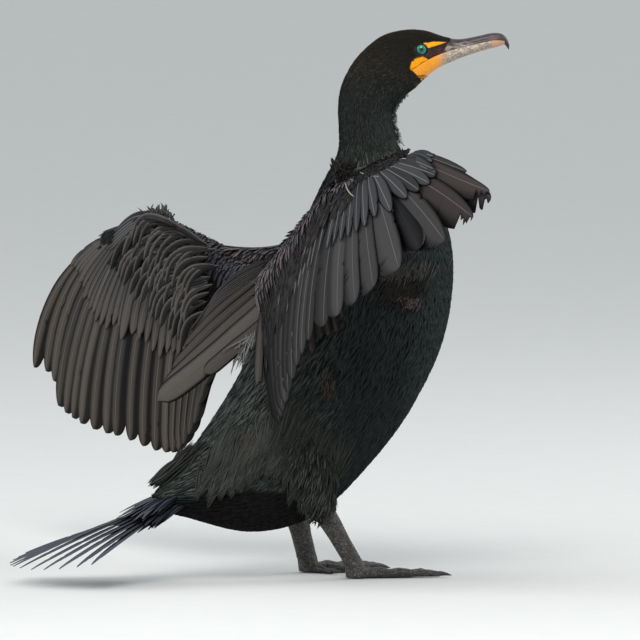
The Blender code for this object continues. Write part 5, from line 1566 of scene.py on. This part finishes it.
def eye_rings(centre, radius, side):
    """Rings of a ball whose pole looks sideways, with a slight bulge over the
    iris: radius * (1 + 0.05 * ease) near the pole."""
    v = np.linspace(0.02, math.pi - 0.02, 48)[:, None, None]
    u = np.linspace(0, 2 * math.pi, 64, endpoint=False)[None, :, None]
    r = radius * (1 + 0.05 * ease((0.75 - v) / 0.4))
    return centre + r * (np.cos(v) * SIDE_AXIS * side + np.sin(v) * (np.cos(u) * FORE_AXIS + np.sin(u) * UP))


def lid_rings(centre, radius, side):
    """A ring of lid round the eye: a tube whose thickness swells into 26 small
    beads."""
    u = np.linspace(0, 2 * math.pi, 208, endpoint=False)[:, None, None]
    v = np.linspace(0, 2 * math.pi, 12, endpoint=False)[None, :, None]
    thick = 0.95 + 0.22 * np.cos(u * 26)
    out = np.cos(u) * FORE_AXIS + 0.94 * np.sin(u) * UP
    return centre + out * (radius + thick * np.cos(v)) + SIDE_AXIS * side * thick * 0.9 * np.sin(v)


def ring_faces(count, sides):
    """Quads of a closed ring of closed sections."""
    i, j = [a.ravel() for a in np.meshgrid(np.arange(count), np.arange(sides), indexing="ij")]
    k, m = (j + 1) % sides, (i + 1) % count
    return [np.stack([i * sides + j, m * sides + j, m * sides + k, i * sides + k], axis=-1)]


lid = Paint("eyelid", Specular_IOR_Level=0.2)
grain = lid.noise(1500.0, 3.0)
lid_paint = lid.finish(lid.mix(grain.step(0.4, 0.6), (0.003, 0.004, 0.005), (0.008, 0.012, 0.018)), 0.45, grain, depth=0.1)
for label, side in (("left", 1.0), ("right", -1.0)):
    centre = head_point(EYE_X, side * EYE_SIDE, EYE_Z)
    paint = Paint("eye_" + label, Specular_IOR_Level=0.4, Coat_Weight=0.5, Coat_Roughness=0.02)
    local = paint.add("Mapping", {"vector_type": "TEXTURE"}, {
        "Vector": paint.place(), "Location": tuple((centre + SHIFT) * MM), "Rotation": (0.0, 0.0, HEAD_TURN)})
    fx, fz = [paint.add("SeparateXYZ", None, {0: local}, i) * 1000.0 for i in (0, 2)]
    away = (fx * fx + fz * fz).math("SQRT")
    rays = paint.noise(900.0, 4.0)
    iris = paint.mix(away.step(1.9, 4.6), (0.0, 0.075, 0.055), (0.006, 0.20, 0.135))
    iris = paint.mix(rays.step(0.45, 0.7) * 0.5, iris, (0.02, 0.33, 0.23))
    colour = paint.mix(away.step(1.6, 2.3), (0.0, 0.012, 0.009), iris)
    colour = paint.mix(away.step(4.5, 5.1), colour, (0.003, 0.006, 0.008))
    ball = eye_rings(centre, 7.25, side)
    add_mesh(f"eyeball_{label}", tube_points(ball), tube_faces(*ball.shape[:2]), paint.finish(colour, 0.08),
             [f"eye_{label}"])
    right_way(bpy.data.objects[f"eyeball_{label}"])
    rim = lid_rings(head_point(EYE_X, side * (EYE_SIDE + 5.0), EYE_Z), 5.7, side)
    right_way(add_mesh(f"eyelid_{label}", rim.reshape(-1, 3), ring_faces(208, 12), lid_paint))

# %% [markdown]
# ## Legs and feet
#
# The legs are short and set far back. Their skin is a net of small scales, with
# broader plates on the front of each toe. All four toes are joined by one web,
# which is what lets a cormorant swim so well, and stand so clumsily.

# %% Legs, toes, webs and claws
hide = Paint("leg_skin", Specular_IOR_Level=0.5)
cells = hide.add("TexVoronoi", {"feature": "DISTANCE_TO_EDGE"}, {"Vector": hide.place(), "Scale": 330.0})
dust = hide.noise(160.0, 4.0)
scale = cells.step(0.02, 0.16)
colour = hide.mix(scale, (0.010, 0.009, 0.009), hide.mix(dust.step(0.3, 0.7), (0.036, 0.032, 0.030), (0.105, 0.092, 0.082)))
leg_paint = hide.finish(colour, 0.5 + dust * 0.15, scale + dust * 0.3, depth=0.35)
horn = Paint("claw_horn", Specular_IOR_Level=0.5, Coat_Weight=0.2)
grain = horn.noise(700.0, 4.0)
claw_paint = horn.finish(horn.mix(grain, (0.008, 0.007, 0.007), (0.035, 0.030, 0.028)), 0.35 + grain * 0.15, grain, depth=0.1)
TOES = [(-16.0, 84.0, 5.6), (5.0, 74.0, 5.4), (27.0, 55.0, 5.0), (72.0, 34.0, 4.4)]
for label, leg in LEGS.items():
    side, heel, ankle = leg["side"], np.array(leg["heel"]), np.array(leg["ankle"])
    k = np.linspace(-0.12, 1.0, 60)[:, None]
    middle = heel + (ankle - heel) * k
    wide = np.interp(k, (-0.12, 0.15, 0.5, 0.9, 1), (13.0, 12.8, 11.0, 10.6, 11.0))
    deep = np.interp(k, (-0.12, 0.15, 0.5, 0.9, 1), (9.0, 8.0, 6.2, 6.6, 7.4))
    ripple = 1 + 0.018 * np.cos(k * 110)
    phi = np.linspace(0, 2 * np.pi, 32, endpoint=False)[None, :, None]
    rings = middle[:, None] + np.cos(phi) * (wide * ripple * AHEAD)[:, None] + np.sin(phi) * (deep * ripple * LEFT)[:, None]
    shank = loose_tube(rings, f"shank_{label}")
    sole = ankle + (3.0, 0.0, -14.0)
    stub_at = np.array([ankle + (0, 0, 1.0), ankle + (1.5, 0, -6.0), sole + (0, 0, 1.5), sole + (0, 0, 0.05)])
    q = np.linspace(0, 3, 14)
    stub = cubic(stub_at, q)
    wide, deep = [np.interp(q, (0, 1, 2, 3), row)[:, None] for row in ((10.4, 10.8, 11.5, 10.0), (7.4, 8.2, 9.5, 8.0))]
    rings = stub[:, None] + np.cos(phi) * (wide * AHEAD)[:, None] + np.sin(phi) * (deep * LEFT)[:, None]
    pieces = [loose_tube(rings)]
    tips = []
    for number, (bearing, length, radius) in enumerate(TOES):
        turned = math.radians(-side * bearing)
        way = np.array((math.cos(turned), math.sin(turned), 0.0))
        flank = np.array((-way[1], way[0], 0.0))
        q = np.linspace(0, 1, 48)[:, None]
        r = radius * np.interp(q, (0, 1), (1.15, 0.62)) * (1 + 0.10 * np.cos(q * math.pi * (7 - number)) + 0.02 * np.cos(q * 150))
        turn = np.linspace(0, 2 * math.pi, 20, endpoint=False)[None, :, None]
        rings = (sole + way * length * q)[:, None] + (np.cos(turn) * r[:, None]) * flank + (r[:, None] * 0.78 + np.sin(turn) * r[:, None] * 0.9) * UP
        rings[..., 2] = np.maximum(rings[..., 2], 0.0)
        pieces.append(loose_tube(rings))
        tips.append(sole + way * length)
        q = np.linspace(0, 1, 20)[:, None]
        size = r[-1, 0] * np.interp(q, (0, 0.35, 0.7, 1), (0.86, 0.66, 0.40, 0.08))
        claw = (tips[-1] + way * (-1.0 + 13.0 * q) + UP * r[-1, 0] * (0.95 - 0.62 * q * q))[:, None]
        claw = claw + np.cos(turn) * (size * 0.8)[:, None] * flank + np.sin(turn) * size[:, None] * UP
        claw[..., 2] = np.maximum(claw[..., 2], 0.3)
        right_way(add_mesh(f"nail_{label}_{4 - number}", tube_points(claw), tube_faces(20, 20), claw_paint, [f"claw_{label}_{4 - number}"]))
    corners = []
    for number in range(3):
        a, b = tips[number] - sole, tips[number + 1] - sole
        f = np.linspace(0, 1, 16, endpoint=number == 2)[:, None]
        corners.append(sole + (a * (1 - f) + b * f) * (0.95 - 0.20 * 4 * f * (1 - f)))
    rim = np.concatenate(corners + [(sole - (6.0, 0, 0))[None]])
    spokes = np.linspace(0.02, 1, 24)[:, None, None]
    sheet = sole + (rim - sole)[None] * spokes
    wrinkle = 0.25 * np.sin(np.arange(len(rim)) * 1.1)[None, :] * np.sin(spokes[..., 0] * 26)
    top = sheet + UP * (1.3 + wrinkle * spokes[..., 0])[..., None]
    low = sheet * (1, 1, 0) + UP * 0.05
    rings = np.concatenate([low, top[::-1]])
    pieces.append(loose_tube(rings))
    foot = combine(shank, pieces, "UNION")
    foot.data.materials.clear()
    foot.data.materials.append(leg_paint)
    foot.data.polygons.foreach_set("use_smooth", np.full(len(foot.data.polygons), True))
    own(foot, [f"leg_{label}", f"foot_{label}"])
    print(foot.name, len(foot.data.vertices), "points")

# %% [markdown]
# ## Floor, light and camera
#
# The bird stands on a plain pale floor. The light is a large soft lamp above,
# with a weaker one on each side, as in a studio. The camera stands far off with
# a long lens, so that nothing is stretched, and looks from behind the bird's
# right, a little from above.

# %% Floor
floor_paint = Paint("floor_paint")
speckle = floor_paint.noise(30.0, 2.0)
floor_material = floor_paint.finish(floor_paint.mix(speckle, (0.60, 0.61, 0.60), (0.64, 0.65, 0.64)), 0.8)
mesh = bpy.data.meshes.new("floor")
mesh.from_pydata([(-60, -60, -0.001), (60, -60, -0.001), (60, 60, -0.001), (-60, 60, -0.001)], [], [(0, 1, 2, 3)])
floor = bpy.data.objects.new("floor", mesh)
bpy.context.scene.collection.objects.link(floor)
mesh.materials.append(floor_material)
floor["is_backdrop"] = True

# %% Lamps and sky
def lamp(name, spot, aim, size, watts, tone=(1.0, 1.0, 1.0)):
    """Square soft lamp at spot that looks at aim."""
    data = bpy.data.lights.new(name, "AREA")
    data.size, data.energy, data.color = size, watts, tone
    obj = bpy.data.objects.new(name, data)
    obj.location = spot
    from_spot = Vector(aim) - Vector(spot)
    obj.rotation_euler = from_spot.to_track_quat("-Z", "Y").to_euler()
    bpy.context.scene.collection.objects.link(obj)


lamp("key", (-1.2, -2.2, 2.6), (0, 0, 0.3), 2.0, 90.0, (1.0, 0.98, 0.95))
lamp("fill", (-2.6, 1.6, 1.6), (0, 0, 0.3), 2.5, 40.0, (0.95, 0.98, 1.0))
lamp("front", (2.8, 0.4, 1.8), (0, 0, 0.3), 2.0, 30.0)
world = bpy.data.worlds.new("sky")
world.use_nodes = True
world.node_tree.nodes["Background"].inputs["Color"].default_value = (0.80, 0.83, 0.85, 1.0)
world.node_tree.nodes["Background"].inputs["Strength"].default_value = 0.9
bpy.context.scene.world = world
bpy.context.scene.view_settings.view_transform = "Standard"

# %% Camera
AZIMUTH, ELEVATION = math.radians(-25.0), math.radians(4.0)
back = Vector((math.sin(AZIMUTH) * math.cos(ELEVATION), -math.cos(AZIMUTH) * math.cos(ELEVATION), math.sin(ELEVATION)))
right = Vector((math.cos(AZIMUTH), math.sin(AZIMUTH), 0.0))
above = right.cross(-back)
middle = Vector((SHIFT * MM).tolist()) + right * (320.0 - 345.0) * MM + above * (574.0 - 320.0) * MM
camera = bpy.data.cameras.new("camera")
camera.sensor_width = 36.0
DISTANCE = 28.0
camera.lens = 36.0 * DISTANCE / 0.640
camera.clip_end = 400.0
eye = bpy.data.objects.new("camera", camera)
eye.location = middle + back * DISTANCE
eye.rotation_euler = (-back).to_track_quat("-Z", "Y").to_euler()
bpy.context.scene.collection.objects.link(eye)
bpy.context.scene.camera = eye
print("camera at", [round(v, 3) for v in eye.location], "lens", camera.lens)

# %% Sizes
low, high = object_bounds()
